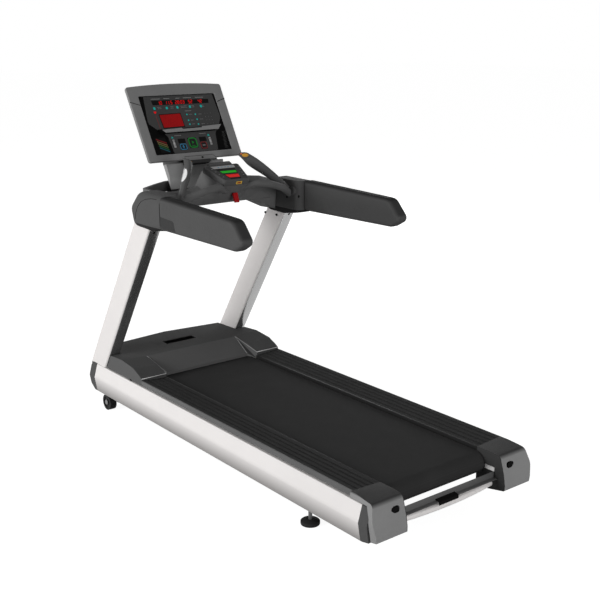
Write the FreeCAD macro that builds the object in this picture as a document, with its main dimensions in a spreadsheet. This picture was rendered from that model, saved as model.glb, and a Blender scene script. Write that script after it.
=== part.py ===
"""Gym treadmill as an assembly of separate pieces.

Frame: +X to the runner's right, +Y forward to the console, +Z up, millimetres. The origin is on the
floor, in the middle of the machine's outer box. Right-hand pieces are drawn; left-hand ones mirror them.
"""
import FreeCAD, Part
import math
import os
import re
import Sketcher

Vector = FreeCAD.Vector
Rotation = FreeCAD.Rotation

SIZES = {
    # clearances
    "seat": 0.3,
    "fit": 0.05,
    "slack": 1.5,
    # overall layout of the base
    "body_length": 2187,
    "belt_width": 520,
    "belt_gap": 4,
    "foot_rail_width": 141,
    # welded frame
    "rail_inset": 71,
    "rail_width": 50,
    "rail_height": 100,
    "rail_bottom": 140,
    "rail_rear_setback": 113.5,
    "rail_front_setback": 35.5,
    "tube_wall": 3,
    "cross_drop": 40,
    "cross_height": 35,
    "cross_width": 50,
    "cross_count": 4,
    "cross_margin": 80,
    "nose_bar_height": 40,
    "tray_thickness": 4,
    "tray_length": 225,
    # rollers, deck and belt
    "roller_radius": 42,
    "roller_wall": 4,
    "roller_overhang": 2,
    "shaft_radius": 10,
    "rear_roller_setback": 149.5,
    "front_roller_setback": 463.5,
    "roller_pulley_radius": 38,
    "pulley_width": 34,
    "pulley_gap": 11,
    "deck_thickness": 25,
    "deck_overhang": 50,
    "deck_gap": 22,
    "cushion_height": 15,
    "cushion_length": 60,
    "cushion_inset": 60,
    "belt_thickness": 2.5,
    "drive_belt_thickness": 3,
    "drive_belt_width": 28,
    "axle_block_width": 38,
    "axle_block_length": 66,
    "axle_block_height": 54,
    "guide_length": 48,
    "guide_height": 17,
    "guide_thickness": 3,
    # foot rails and treads
    "band_rise": 4,
    "band_height": 22,
    "flange_rise": 17,
    "foot_wall": 3,
    "foot_leg_inset": 5,
    "tread_margin": 7,
    "tread_depth": 3.5,
    "tread_base": 1.2,
    "rib_count": 5,
    "rib_gap": 8,
    "foot_rear_setback": 148.5,
    # side panels
    "panel_top_out": 6,
    "panel_crease_out": 25,
    "panel_bottom_out": 12,
    "panel_top_drop": 2,
    "panel_crease_height": 172,
    "panel_bottom": 96,
    "panel_wall": 2.5,
    "crease_radius": 8,
    "panel_rear_setback": 83.5,
    "panel_front_setback": 107.5,
    # rear end caps
    "cap_wall": 3,
    "cap_top_out": 3,
    "cap_bulge_out": 23,
    "cap_bulge_height": 195,
    "cap_bottom_out": 5,
    "cap_bottom": 100,
    "cap_heel": 117,
    "cap_shin": 24,
    "cap_shoulder_height": 185,
    "cap_shoulder_in": 8,
    "cap_crown_height": 255,
    "cap_crown_in": 30,
    "cap_band": 7,
    "groove": 4,
    "groove_top_in": 55.5,
    "groove_mid_in": 32.5,
    "groove_mid_height": 204,
    "slot_width": 36,
    "slot_height": 24,
    "slot_centre_height": 214,
    "slot_inset": 44,
    # front boots
    "boot_setback": 55,
    "boot_nose_height": 177,
    "boot_nose": 50,
    "boot_rise": 18,
    "boot_brow_in": 38,
    "boot_heel_in": 30,
    # rear handle tube and cross bar
    "bow_radius": 14,
    "bow_depth": 19,
    "bow_height": 129,
    "bow_setback": 56.5,
    "bar_setback": 59.5,
    "bar_shelf_depth": 21,
    "bar_bottom": 155,
    "bar_top": 183,
    "bar_plate": 3,
    "blank_half": 44,
    "blank_depth": 17,
    # hood over the motor
    "hood_rear_setback": 541.5,
    "hood_wall": 3,
    "hood_lip": 34,
    "hood_lip_inset": 5,
    "hood_knee_in": 22,
    "hood_knee": 47,
    "hood_brow_in": 78,
    "hood_brow": 70,
    "facet_foot_in": 46,
    "facet_foot_inset": 24,
    "facet_foot": 18,
    "facet_top_in": 188,
    "hood_deck": 73,
    "hood_shoulder": 82,
    "hood_shoulder_in": 298,
    "hood_step": 75,
    "hood_ridge_in": 464,
    "hood_ridge": 85,
    "hood_ridge_side": 69,
    "hood_upright_gap": 3,
    "vent_half": 88,
    "vent_length": 50,
    "vent_setback": 255.5,
    # front cover and inlet
    "cover_wall": 3,
    "cover_brow": 50,
    "cover_brow_in": 33,
    "cover_chin": 20,
    "cover_setback": 5,
    "cover_bottom": 110,
    "inlet_half": 24,
    "inlet_height": 30,
    "inlet_depth": 22,
    "inlet_out": 3,
    "inlet_offset": 230,
    "inlet_centre": 165,
    # motor, controller
    "motor_radius": 65,
    "motor_wall": 6,
    "motor_inner": 60,
    "motor_outer": 260,
    "motor_setback": 243.5,
    "motor_headroom": 14.8,
    "motor_foot": 36,
    "rotor_radius": 50,
    "motor_shaft_radius": 8,
    "motor_pulley_radius": 30,
    "controller_inner": 80,
    "controller_outer": 300,
    "controller_setback": 313.5,
    "controller_length": 200,
    "controller_height": 45,
    "fin_count": 8,
    "fin_height": 22,
    "fin_thickness": 4,
    # incline: pivoting wheel frame, lever, screw and lift motor
    "pivot_setback": 333.5,
    "pivot_height": 115,
    "pivot_tube_radius": 20,
    "pivot_pin_radius": 8,
    "pivot_lug": 6,
    "pivot_pin_length": 30,
    "lift_arm": 10,
    "wheel_radius": 40,
    "wheel_width": 35,
    "wheel_reach": 185,
    "wheel_axle_radius": 6,
    "wheel_spacer": 27,
    "arm_half": 18,
    "lever_height": 80,
    "lever_swing": 27.5,
    "lever_half": 15,
    "lever_plate": 8,
    "lever_gap": 14,
    "lift_pin_radius": 6,
    "lift_pin_play": 1.8,
    "lift_slot_half": 10,
    "lift_screw_radius": 8,
    "lift_screw_length": 215,
    "lift_motor_half": 45,
    "lift_motor_length": 130,
    "lift_motor_gap": 112,
    "lift_motor_height": 90,
    # levelling feet
    "leveler_setback": 443.5,
    "pad_radius": 37.5,
    "pad_height": 12,
    "stem_radius": 8,
    "stem_length": 190,
    "nut_radius": 14,
    "nut_height": 14,
    # uprights
    "upright_inset": 11,
    "upright_width": 65,
    "upright_depth": 144,
    "upright_setback": 191.5,
    "upright_round": 9,
    "upright_wall": 3,
    "upright_overlap": 32,
    "lean": 0.6334,
    "head_height": 1010,
    "cover_strip": 3.7,
    "cover_margin": 5,
    "bolt_radius": 4,
    "bolt_head_radius": 6.5,
    "bolt_head": 3,
    "bolt_drop": 24,
    # shoulders
    "shoulder_inner_out": 16,
    "shoulder_outer_out": 19,
    "shoulder_rear": 124,
    "shoulder_front": 146,
    "shoulder_top": 164,
    "shoulder_round": 36,
    "shoulder_blend": 33,
    # arm rests
    "arm_inset": 20,
    "arm_thickness": 62,
    "arm_splay": 1.5,
    "arm_reach": 764,
    "arm_top_drop": 18,
    "arm_top_in": 77,
    "arm_nose": 61,
    "arm_bottom": 24,
    "arm_bottom_in": 65,
    "arm_round": 16,
    "arm_corner": 45,
    "panel_patch_length": 116,
    "panel_patch_height": 80,
    "panel_patch_depth": 3,
    # steel under the console
    "core_width": 24,
    "core_height": 40,
    "core_bottom": 70,
    "core_reach": 664,
    "crossbar_in": 56,
    "crossbar_depth": 40,
    "leg_height": 50,
    # dashboard
    "basin_floor": 112,
    "basin_rim": 14,
    # handlebar and grips
    "handlebar_radius": 17,
    "handlebar_bend": 45,
    "grip_half_width": 28,
    "grip_half_depth": 17.5,
    "grip_head_half": 40,
    "grip_head_depth": 20,
    "grip_key_half": 22,
    "grip_key_depth": 11.5,
    "grip_key_back": 9,
    "sensor_thickness": 0.8,
    # mast
    "mast_half": 152,
    "mast_flare": 14,
    "mast_tube_half": 40,
    "mast_tube_depth": 34,
    "mast_foot": 128,
    "mast_hub": 150,
    "mast_back": 105,
    "mast_taper": 38,
    # monitor
    "monitor_forward": 230.7,
    "monitor_lift": 264,
    "monitor_tilt": 60,
    "monitor_half": 266,
    "monitor_taper": 5,
    "monitor_height": 383,
    "monitor_crown": 22,
    "monitor_crown_radius": 3000,
    "monitor_corner": 12,
    "bezel_depth": 14,
    "back_depth": 48,
    "back_taper": 40,
    "shell_wall": 3,
    "window_half": 213,
    "window_bottom": 33,
    "window_top": 335,
    "window_corner": 6,
    "display_recess": 3,
    "display_thickness": 4,
    "ledge_half": 168,
    "ledge_bottom": 138,
    "ledge_top": 156,
    "ledge_depth": 12,
    # keys of the monitor: width, height and centre
    "key_proud": 1.8,
    "key_depth": 7,
    "key_travel": 1.2,
    "start_width": 46,
    "start_height": 52,
    "start_across": 4,
    "start_up": 82,
    "stop_width": 34,
    "stop_height": 36,
    "stop_across": 61,
    "stop_up": 65,
    "enter_width": 36,
    "enter_height": 30,
    "enter_across": 54,
    "enter_up": 65,
    "recess_width": 38,
    "recess_height": 24,
    "recess_across": 58,
    "recess_up": 96,
    "rocker_width": 10,
    "rocker_height": 40,
    "rocker_across": 98,
    "rocker_up": 85,
    "rocker_gap": 1.2,
    # small console
    "pod_lift": 199,
    "pod_back": 99.3,
    "pod_tilt": 21.5,
    "pod_rear_half": 69,
    "pod_front_half": 99,
    "pod_length": 148,
    "pod_thickness": 28,
    "pod_corner": 12,
    "keypad_margin": 7,
    "keypad_depth": 1.2,
    "keypad_key": 15,
    "lip_half": 62,
    "lip_length": 20,
    # safety key
    "safety_half": 12,
    "safety_height": 42,
    "safety_lean": 20,
    "safety_depth": 10,
    "safety_drop": 126,
    "safety_above_peg": 10,
    "safety_peg": 4,
    "safety_peg_length": 18,
}

# Places worked out from the sizes; each formula may use sizes and other places.
PLACES = {
    "rear_end": "-body_length / 2",
    "front_end": "body_length / 2",
    "belt_edge": "belt_width / 2",
    "foot_inner": "belt_edge + belt_gap",
    "foot_outer": "foot_inner + foot_rail_width",
    "rail_inner": "foot_inner + rail_inset",
    "rail_outer": "rail_inner + rail_width",
    "rail_top": "rail_bottom + rail_height",
    "rail_rear": "rear_end + rail_rear_setback",
    "rail_front": "front_end - rail_front_setback",
    "rear_roller": "rear_end + rear_roller_setback",
    "front_roller": "front_end - front_roller_setback",
    "cross_top": "rail_top - cross_drop",
    "deck_bottom": "cross_top + cushion_height",
    "deck_top": "deck_bottom + deck_thickness",
    "roller_height": "deck_top - roller_radius",
    "belt_top": "deck_top + seat + belt_thickness",
    "roller_half": "belt_edge + roller_overhang",
    "deck_half": "belt_edge + deck_overhang",
    "deck_rear": "rear_roller + roller_radius + deck_gap",
    "deck_front": "front_roller - roller_radius - deck_gap",
    "pulley_inner": "roller_half + pulley_gap",
    "pulley_outer": "pulley_inner + pulley_width",
    "band_bottom": "rail_top + band_rise",
    "band_top": "band_bottom + band_height",
    "flange_top": "deck_top + flange_rise",
    "foot_slope": "(band_top - flange_top) / foot_rail_width",
    "foot_rear": "rear_end + foot_rear_setback",
    "hood_rear": "front_end - hood_rear_setback",
    "panel_inner": "rail_outer + seat",
    "panel_top": "rail_top - panel_top_drop",
    "panel_rear": "rear_end + panel_rear_setback",
    "panel_front": "front_end - panel_front_setback",
    "boot_front": "front_end - boot_setback",
    "cap_outer": "foot_outer + cap_bulge_out",
    "bar_y": "rear_end + bar_setback",
    "pivot_y": "front_end - pivot_setback",
    "wheel_y": "pivot_y + wheel_reach",
    "lug_inner": "rail_inner - seat - pivot_lug",
    "arm_plate_outer": "lug_inner - seat",
    "wheel_inner": "arm_plate_outer + wheel_spacer",
    "wheel_outer": "wheel_inner + wheel_width",
    "lever_top": "pivot_height + lever_height",
    "lever_rest": "pivot_y - lever_height * tan(lever_swing)",
    "motor_y": "front_end - motor_setback",
    "motor_height": "belt_top + hood_deck - 2 * hood_wall - motor_headroom - motor_radius",
    "tray_rear": "nose_rear - seat - tray_length",
    "nose_rear": "rail_front - cross_width",
    "lift_motor_rear": "pivot_y + lift_motor_gap",
    "leveler_y": "rear_end + leveler_setback",
    "leveler_x": "rail_inner + rail_width * 0.4",
    "upright_inner": "rail_inner + upright_inset",
    "upright_outer": "upright_inner + upright_width",
    "upright_foot": "rail_top + seat",
    "head_y": "front_end - upright_setback - lean * (head_height - rail_top)",
    "shoulder_inner": "upright_inner - shoulder_inner_out",
    "shoulder_outer": "upright_outer + shoulder_outer_out",
    "shoulder_back": "head_y - shoulder_rear",
    "arm_inner": "upright_inner + arm_inset",
    "arm_outer": "arm_inner + arm_thickness",
    "arm_front": "shoulder_back - seat",
    "core_inner": "arm_inner + (arm_thickness - core_width) / 2",
    "core_outer": "core_inner + core_width",
    "core_z": "head_height + core_bottom",
    "hood_side": "foot_outer - seat",
    "hood_mid": "upright_inner - hood_upright_gap",
    "hood_foot": "rail_top + seat",
    "hood_front": "hood_rear + hood_ridge_in",
    "cover_face": "front_end - cover_setback",
    "display_face": "-display_recess",
    "display_back": "-display_recess - display_thickness",
    "pod_y": "head_y - pod_back",
    "pod_z": "head_height + pod_lift",
}

doc = FreeCAD.newDocument("treadmill")
sheet = doc.addObject("Spreadsheet::Sheet", "dim")
for row, (size_name, size_value) in enumerate(SIZES.items(), start=1):
    sheet.set(f"A{row}", size_name)
    sheet.set(f"B{row}", str(size_value))
    sheet.setAlias(f"B{row}", size_name)
doc.recompute()

WORD = re.compile(r"[a-z][a-z_]*")
NODES = []


# ---------------------------------------------------------------- formulas and document objects

def ex(formula):
    """The formula with each size spelled as a sheet cell and each place worked out."""
    def swap(match):
        word = match.group()
        if word in SIZES:
            return "dim." + word
        if word in PLACES:
            return "(" + ex(PLACES[word]) + ")"
        return word
    return WORD.sub(swap, str(formula))


def num(formula):
    """The formula's present value."""
    return float(sheet.evalExpression(ex(formula)))


def node(item):
    """Mark a finished piece for writing."""
    NODES.append(item)
    return item


def box(name, x, y, z):
    """A block between low and high formulas along each axis."""
    item = doc.addObject("Part::Box", name)
    for side, letter, (low, high) in zip(("Length", "Width", "Height"), "xyz", (x, y, z)):
        item.setExpression(side, ex(f"({high}) - ({low})"))
        item.setExpression(f"Placement.Base.{letter}", ex(low))
    return item


TURNS = {"x": Rotation(Vector(0, 1, 0), 90), "y": Rotation(Vector(1, 0, 0), -90), "z": Rotation()}


def rod(name, axis, radius, centre, span):
    """A round bar along an axis; centre gives its place on the other two axes."""
    item = doc.addObject("Part::Cylinder", name)
    item.Placement = FreeCAD.Placement(Vector(), TURNS[axis])
    item.setExpression("Radius", ex(radius))
    item.setExpression("Height", ex(f"({span[1]}) - ({span[0]})"))
    item.setExpression(f"Placement.Base.{axis}", ex(span[0]))
    for letter, place in zip([other for other in "xyz" if other != axis], centre):
        item.setExpression(f"Placement.Base.{letter}", ex(place))
    return item


def fuse(name, *items):
    item = doc.addObject("Part::MultiFuse", name)
    item.Shapes = list(items)
    return item


def common(name, *items):
    item = doc.addObject("Part::MultiCommon", name)
    item.Shapes = list(items)
    return item


def cut(name, base, *tools):
    item = doc.addObject("Part::Cut", name)
    item.Base = base
    item.Tool = tools[0] if len(tools) == 1 else fuse(name + "_tools", *tools)
    return item


def group(name, *items):
    item = doc.addObject("Part::Compound", name)
    item.Links = list(items)
    return item


def mirror(name, source):
    """The opposite-hand copy across the machine's middle plane."""
    item = doc.addObject("Part::Mirroring", name)
    item.Source = source
    item.Normal = Vector(1, 0, 0)
    return item


def pair(name, right):
    return group(name, right, mirror(name + "_other", right))


# ---------------------------------------------------------------- sketches

def hold(sketch, geometry, point, x, y):
    """Bind a sketch point's two coordinates to formulas."""
    for kind, formula in (("DistanceX", x), ("DistanceY", y)):
        index = sketch.addConstraint(Sketcher.Constraint(kind, geometry, point, num(formula)))
        sketch.setExpression(f"Constraints[{index}]", ex(formula))


def hold_radius(sketch, geometry, radius):
    index = sketch.addConstraint(Sketcher.Constraint("Radius", geometry, num(radius)))
    sketch.setExpression(f"Constraints[{index}]", ex(radius))


def outline(sketch, corners):
    """A closed outline through the corners; a corner's third value rounds it with a tangent arc."""
    count = len(corners)
    points = [Vector(num(corner[0]), num(corner[1]), 0) for corner in corners]
    entries, exits, arcs = [], [], []
    for i, corner in enumerate(corners):
        before = (points[i - 1] - points[i]).normalize()
        after = (points[(i + 1) % count] - points[i]).normalize()
        radius = num(corner[2]) if len(corner) > 2 else 0
        trim = radius / math.tan(before.getAngle(after) / 2) if radius else 0
        entries.append(points[i] + before * trim)
        exits.append(points[i] + after * trim)
        arcs.append((radius, (before + after).normalize() if radius else None))
    first = sketch.GeometryCount
    for i in range(count):
        sketch.addGeometry(Part.LineSegment(exits[i], entries[(i + 1) % count]), False)
    for i, corner in enumerate(corners):
        arriving, leaving = first + (i - 1) % count, first + i
        if not arcs[i][0]:
            sketch.addConstraint(Sketcher.Constraint("Coincident", arriving, 2, leaving, 1))
            hold(sketch, leaving, 1, corner[0], corner[1])
            continue
        radius, inward = arcs[i]
        reach = math.hypot(radius, (entries[i] - points[i]).Length)
        centre = points[i] + inward * reach
        turn = (points[i] - entries[i]).cross(exits[i] - points[i]).z
        ends = (entries[i], exits[i]) if turn > 0 else (exits[i], entries[i])
        angles = [math.atan2(end.y - centre.y, end.x - centre.x) for end in ends]
        arc = sketch.addGeometry(
            Part.ArcOfCircle(Part.Circle(centre, Vector(0, 0, 1), radius), angles[0], angles[1]), False)
        begin, finish = (1, 2) if turn > 0 else (2, 1)
        sketch.addConstraint(Sketcher.Constraint("Tangent", arriving, 2, arc, begin))
        sketch.addConstraint(Sketcher.Constraint("Tangent", arc, finish, leaving, 1))
        mark = sketch.addGeometry(Part.Point(points[i]), True)
        hold(sketch, mark, 1, corner[0], corner[1])
        sketch.addConstraint(Sketcher.Constraint("PointOnObject", mark, 1, arriving))
        sketch.addConstraint(Sketcher.Constraint("PointOnObject", mark, 1, leaving))
        hold_radius(sketch, arc, corner[2])


def link(sketch, start, start_radius, end, end_radius):
    """A closed outline round two circles, as a belt or a link plate has."""
    a, b = (Vector(num(place[0]), num(place[1]), 0) for place in (start, end))
    ra, rb = num(start_radius), num(end_radius)
    heading = math.atan2(b.y - a.y, b.x - a.x)
    spread = math.acos((ra - rb) / (b - a).Length)
    rim = {}
    for side in (-1, 1):
        angle = heading + side * spread
        ray = Vector(math.cos(angle), math.sin(angle), 0)
        rim[side] = (a + ray * ra, b + ray * rb)
    up = Vector(0, 0, 1)
    lower = sketch.addGeometry(Part.LineSegment(rim[-1][0], rim[-1][1]), False)
    nose = sketch.addGeometry(
        Part.ArcOfCircle(Part.Circle(b, up, rb), heading - spread, heading + spread), False)
    upper = sketch.addGeometry(Part.LineSegment(rim[1][1], rim[1][0]), False)
    tail = sketch.addGeometry(
        Part.ArcOfCircle(Part.Circle(a, up, ra), heading + spread, heading - spread + 2 * math.pi), False)
    for one, two in ((lower, nose), (nose, upper), (upper, tail), (tail, lower)):
        sketch.addConstraint(Sketcher.Constraint("Tangent", one, 2, two, 1))
    for arc, place, radius in ((tail, start, start_radius), (nose, end, end_radius)):
        hold(sketch, arc, 3, *place)
        hold_radius(sketch, arc, radius)


PLANES = {"x": "YZ_Plane", "y": "XZ_Plane", "z": "XY_Plane"}


def body_sketch(body, name, axis, start):
    """A sketch on one of the body's own origin planes, moved along the axis."""
    sketch = body.newObject("Sketcher::SketchObject", name)
    plane = next(item for item in body.Origin.OriginFeatures if item.Role == PLANES[axis])
    sketch.AttachmentSupport = [(plane, "")]
    sketch.MapMode = "FlatFace"
    sketch.setExpression("AttachmentOffset.Base.z", ex(start))
    return sketch


def extrusion(name, axis, span, draw):
    """A padded profile; draw(sketch) puts the outlines on the sketch."""
    body = doc.addObject("PartDesign::Body", name)
    start = f"-({span[1]})" if axis == "y" else span[0]
    sketch = body_sketch(body, name + "_profile", axis, start)
    draw(sketch)
    pad = body.newObject("PartDesign::Pad", name + "_pad")
    pad.Profile = sketch
    pad.setExpression("Length", ex(f"({span[1]}) - ({span[0]})"))
    return body


def prism(name, axis, span, *outlines):
    """A padded profile with straight and rounded outlines; the second and later ones are hollows."""
    def draw(sketch):
        for corners in outlines:
            outline(sketch, corners)
    return extrusion(name, axis, span, draw)


def slab(name, x, y, z):
    """A block drawn on a sketch, free to be placed as a whole."""
    return prism(name, "z", z, [(x[0], y[0]), (x[1], y[0]), (x[1], y[1]), (x[0], y[1])])


def soften(body, radius, chosen):
    """Round the edges of a body that chosen(edge) picks."""
    doc.recompute()
    feature = body.Tip
    names = [f"Edge{i + 1}" for i, edge in enumerate(feature.Shape.Edges) if chosen(edge)]
    fillet = body.newObject("PartDesign::Fillet", body.Name + "_round")
    fillet.Base = (feature, names)
    fillet.setExpression("Radius", ex(radius))
    return body


def section(name, x, corners):
    """A free sketch across the machine at x, in Y and Z."""
    sketch = doc.addObject("Sketcher::SketchObject", name)
    turned = Rotation(Vector(0, 1, 0), Vector(0, 0, 1), Vector(1, 0, 0), "ZXY")
    sketch.Placement = FreeCAD.Placement(Vector(), turned)
    sketch.setExpression("Placement.Base.x", ex(x))
    outline(sketch, corners)
    return sketch


def level(name, z, corners):
    """A free sketch in X and Y at height z."""
    sketch = doc.addObject("Sketcher::SketchObject", name)
    sketch.setExpression("Placement.Base.z", ex(z))
    outline(sketch, corners)
    return sketch


def loft(name, sections):
    item = doc.addObject("Part::Loft", name)
    item.Sections = sections
    item.Solid = True
    item.Ruled = True
    return item


def tilt(item, y, z, angle):
    """Stand a piece drawn flat on its own sloping face."""
    item.Placement = FreeCAD.Placement(Vector(), Rotation(Vector(1, 0, 0), 10))
    item.setExpression("Placement.Base.y", ex(y))
    item.setExpression("Placement.Base.z", ex(z))
    item.setExpression("Placement.Rotation.Angle", ex(angle))
    return item


def splay(item):
    """Swing a right-hand piece outwards about the arm rest's front outer corner."""
    swung_x = "(arm_outer * cos(arm_splay) - arm_front * sin(arm_splay))"
    swung_y = "(arm_outer * sin(arm_splay) + arm_front * cos(arm_splay))"
    item.Placement = FreeCAD.Placement(Vector(), Rotation(Vector(0, 0, 1), 10))
    item.setExpression("Placement.Base.x", ex(f"arm_outer - {swung_x}"))
    item.setExpression("Placement.Base.y", ex(f"arm_front - {swung_y}"))
    item.setExpression("Placement.Rotation.Angle", ex("arm_splay"))
    return item


def shaped(name, shape):
    """A piece whose form is made directly from the sheet's values."""
    item = doc.addObject("Part::Feature", name)
    item.Shape = shape
    return item


# ---------------------------------------------------------------- welded frame

def make_frame():
    """Hollow side rails, cross members, motor tray and the pivot lugs of the wheel frame."""
    wall = "tube_wall"
    rails = [
        cut(f"rail_{i}",
            box(f"rail_outside_{i}", (low, high), ("rail_rear", "rail_front"), ("rail_bottom", "rail_top")),
            box(f"rail_bore_{i}", (f"{low} + {wall}", f"{high} - {wall}"), ("rail_rear - 1", "rail_front + 1"),
                (f"rail_bottom + {wall}", f"rail_top - {wall}")))
        for i, (low, high) in enumerate((("rail_inner", "rail_outer"), ("-(rail_outer)", "-(rail_inner)")))]
    stem_holes = [rod(f"stem_hole_{i}", "z", "stem_radius + fit", (f"{side} * (leveler_x)", "leveler_y"),
                      ("rail_bottom - 1", "rail_bottom + tube_wall + 1")) for i, side in enumerate((1, -1))]
    rails = [cut(f"rail_drilled_{i}", rail, hole) for i, (rail, hole) in enumerate(zip(rails, stem_holes))]
    pitch = "(deck_front - deck_rear - 2 * cross_margin) / (cross_count - 1)"
    members = []
    for i in range(int(num("cross_count"))):
        middle = f"deck_rear + cross_margin + {i} * {pitch}"
        members.append(box(f"cross_{i}", ("-(rail_inner)", "rail_inner"),
                           (f"{middle} - cross_width / 2", f"{middle} + cross_width / 2"),
                           ("cross_top - cross_height", "cross_top")))
    members.append(box("nose_bar", ("-(rail_inner)", "rail_inner"), ("nose_rear", "rail_front"),
                       ("rail_bottom", "rail_bottom + nose_bar_height")))
    tray = box("motor_tray", ("-(rail_inner)", "rail_inner"), ("tray_rear", "nose_rear"),
               ("rail_bottom", "rail_bottom + tray_thickness"))
    lever_way = "lever_gap + lever_plate + cross_drop / 4"
    notch = box("lever_notch", (f"-({lever_way})", lever_way),
                ("tray_rear - 1", "tray_rear + lever_height * 0.75"),
                ("rail_bottom - 1", "rail_bottom + tray_thickness + 1"))
    members.append(cut("notched_tray", tray, notch))
    pads = []
    for i, side in enumerate((1, -1)):
        edges = sorted((f"{side} * ({x})" for x in ("lug_inner", "rail_inner")), key=num)
        lug = box(f"pivot_lug_{i}", edges, ("pivot_y - pivot_tube_radius", "pivot_y + pivot_tube_radius"),
                  ("pivot_height - pivot_tube_radius", "rail_top - cross_drop"))
        reach = sorted((f"{side} * ({x})" for x in ("lug_inner - pivot_pin_length", "rail_inner")), key=num)
        pin = rod(f"pivot_pin_{i}", "x", "pivot_pin_radius", ("pivot_y", "pivot_height"), reach)
        pads.append(fuse(f"pivot_{i}", lug, pin))
    node(group("base_frame", *rails, *members, *pads))


# ---------------------------------------------------------------- deck, belt and rollers

def make_running_surface():
    node(box("deck", ("-(deck_half)", "deck_half"), ("deck_rear", "deck_front"), ("deck_bottom", "deck_top")))
    pitch = "(deck_front - deck_rear - 2 * cross_margin) / (cross_count - 1)"
    cushions = []
    for i in range(int(num("cross_count"))):
        middle = f"deck_rear + cross_margin + {i} * {pitch}"
        for side in (1, -1):
            x = f"{side} * (belt_edge - cushion_inset)"
            cushions.append(box(f"cushion_{len(cushions)}",
                                (f"{x} - cushion_length / 2", f"{x} + cushion_length / 2"),
                                (f"{middle} - cross_width / 2", f"{middle} + cross_width / 2"),
                                ("cross_top", "deck_bottom")))
    node(group("deck_cushions", *cushions))

    def belt_loop(sketch):
        for radius in ("roller_radius + seat + belt_thickness", "roller_radius + seat"):
            link(sketch, ("rear_roller", "roller_height"), radius, ("front_roller", "roller_height"), radius)
    node(extrusion("running_belt", "x", ("-(belt_edge)", "belt_edge"), belt_loop))


def roller(name, y, pulley):
    """A drum with end discs and a bore; the front one carries a pulley at its left end."""
    at = (y, "roller_height")
    whole = rod(name + "_drum", "x", "roller_radius", at, ("-(roller_half)", "roller_half"))
    hollow = rod(name + "_hollow", "x", "roller_radius - roller_wall", at,
                 ("-(roller_half) + 2 * roller_wall", "roller_half - 2 * roller_wall"))
    solid = cut(name + "_tube", whole, hollow)
    left_end = "-(roller_half)"
    if pulley:
        left_end = "-(pulley_outer)"
        solid = fuse(name + "_set", solid,
                     rod(name + "_neck", "x", "2 * shaft_radius", at, ("-(pulley_inner)", "-(roller_half)")),
                     rod(name + "_pulley", "x", "roller_pulley_radius", at, (left_end, "-(pulley_inner)")))
    bore = rod(name + "_bore", "x", "shaft_radius + fit", at, (f"{left_end} - 1", "roller_half + 1"))
    return node(cut(name, solid, bore))


def make_rollers():
    roller("front_roller", "front_roller", True)
    roller("rear_roller", "rear_roller", False)
    axles = [rod(f"axle_{i}", "x", "shaft_radius", (y, "roller_height"),
                 ("-(rail_inner) + seat", "rail_inner - seat"))
             for i, y in enumerate(("front_roller", "rear_roller"))]
    node(group("roller_axles", *axles))
    pieces = []
    for y in ("front_roller", "rear_roller"):
        for side in (1, -1):
            i = len(pieces)
            wide = "axle_block_width" if y == "rear_roller" else "axle_block_width / 2"
            x = sorted((f"{side} * ({edge})" for edge in (f"rail_inner - seat - {wide}", "rail_inner - seat")),
                       key=num)
            block = box(f"axle_block_{i}", x,
                        (f"{y} - axle_block_length / 2", f"{y} + axle_block_length / 2"),
                        ("roller_height - axle_block_height / 2", "roller_height + axle_block_height / 2"))
            holes = [rod(f"axle_hole_{i}", "x", "shaft_radius + fit", (y, "roller_height"),
                         ("-(rail_outer)", "rail_outer"))]
            if y == "rear_roller":
                holes.append(rod(f"tension_hole_{i}", "y", "bolt_radius + fit",
                                 (f"{side} * (foot_inner + slot_inset)", "slot_centre_height"),
                                 ("rear_end", "rear_roller")))
            pieces.append(cut(f"drilled_block_{i}", block, *holes))
    for side in (1, -1):
        i = len(pieces)
        x = sorted((f"{side} * ({edge})" for edge in
                    ("foot_inner - seat - guide_thickness", "foot_inner - seat")), key=num)
        rear = "rear_roller - roller_radius - belt_thickness - guide_thickness - guide_length"
        pieces.append(box(f"belt_guide_{i}", x, (rear, f"{rear} + guide_length"),
                          ("roller_height - guide_height + guide_thickness",
                           "roller_height + guide_thickness")))
    node(group("roller_brackets", *pieces))


# ---------------------------------------------------------------- foot rails

def on_foot(x, depth="0"):
    """A point of the foot rail's sloping top, some depth below it."""
    return (x, f"flange_top + ({x} - foot_inner) * foot_slope - ({depth})")


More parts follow.
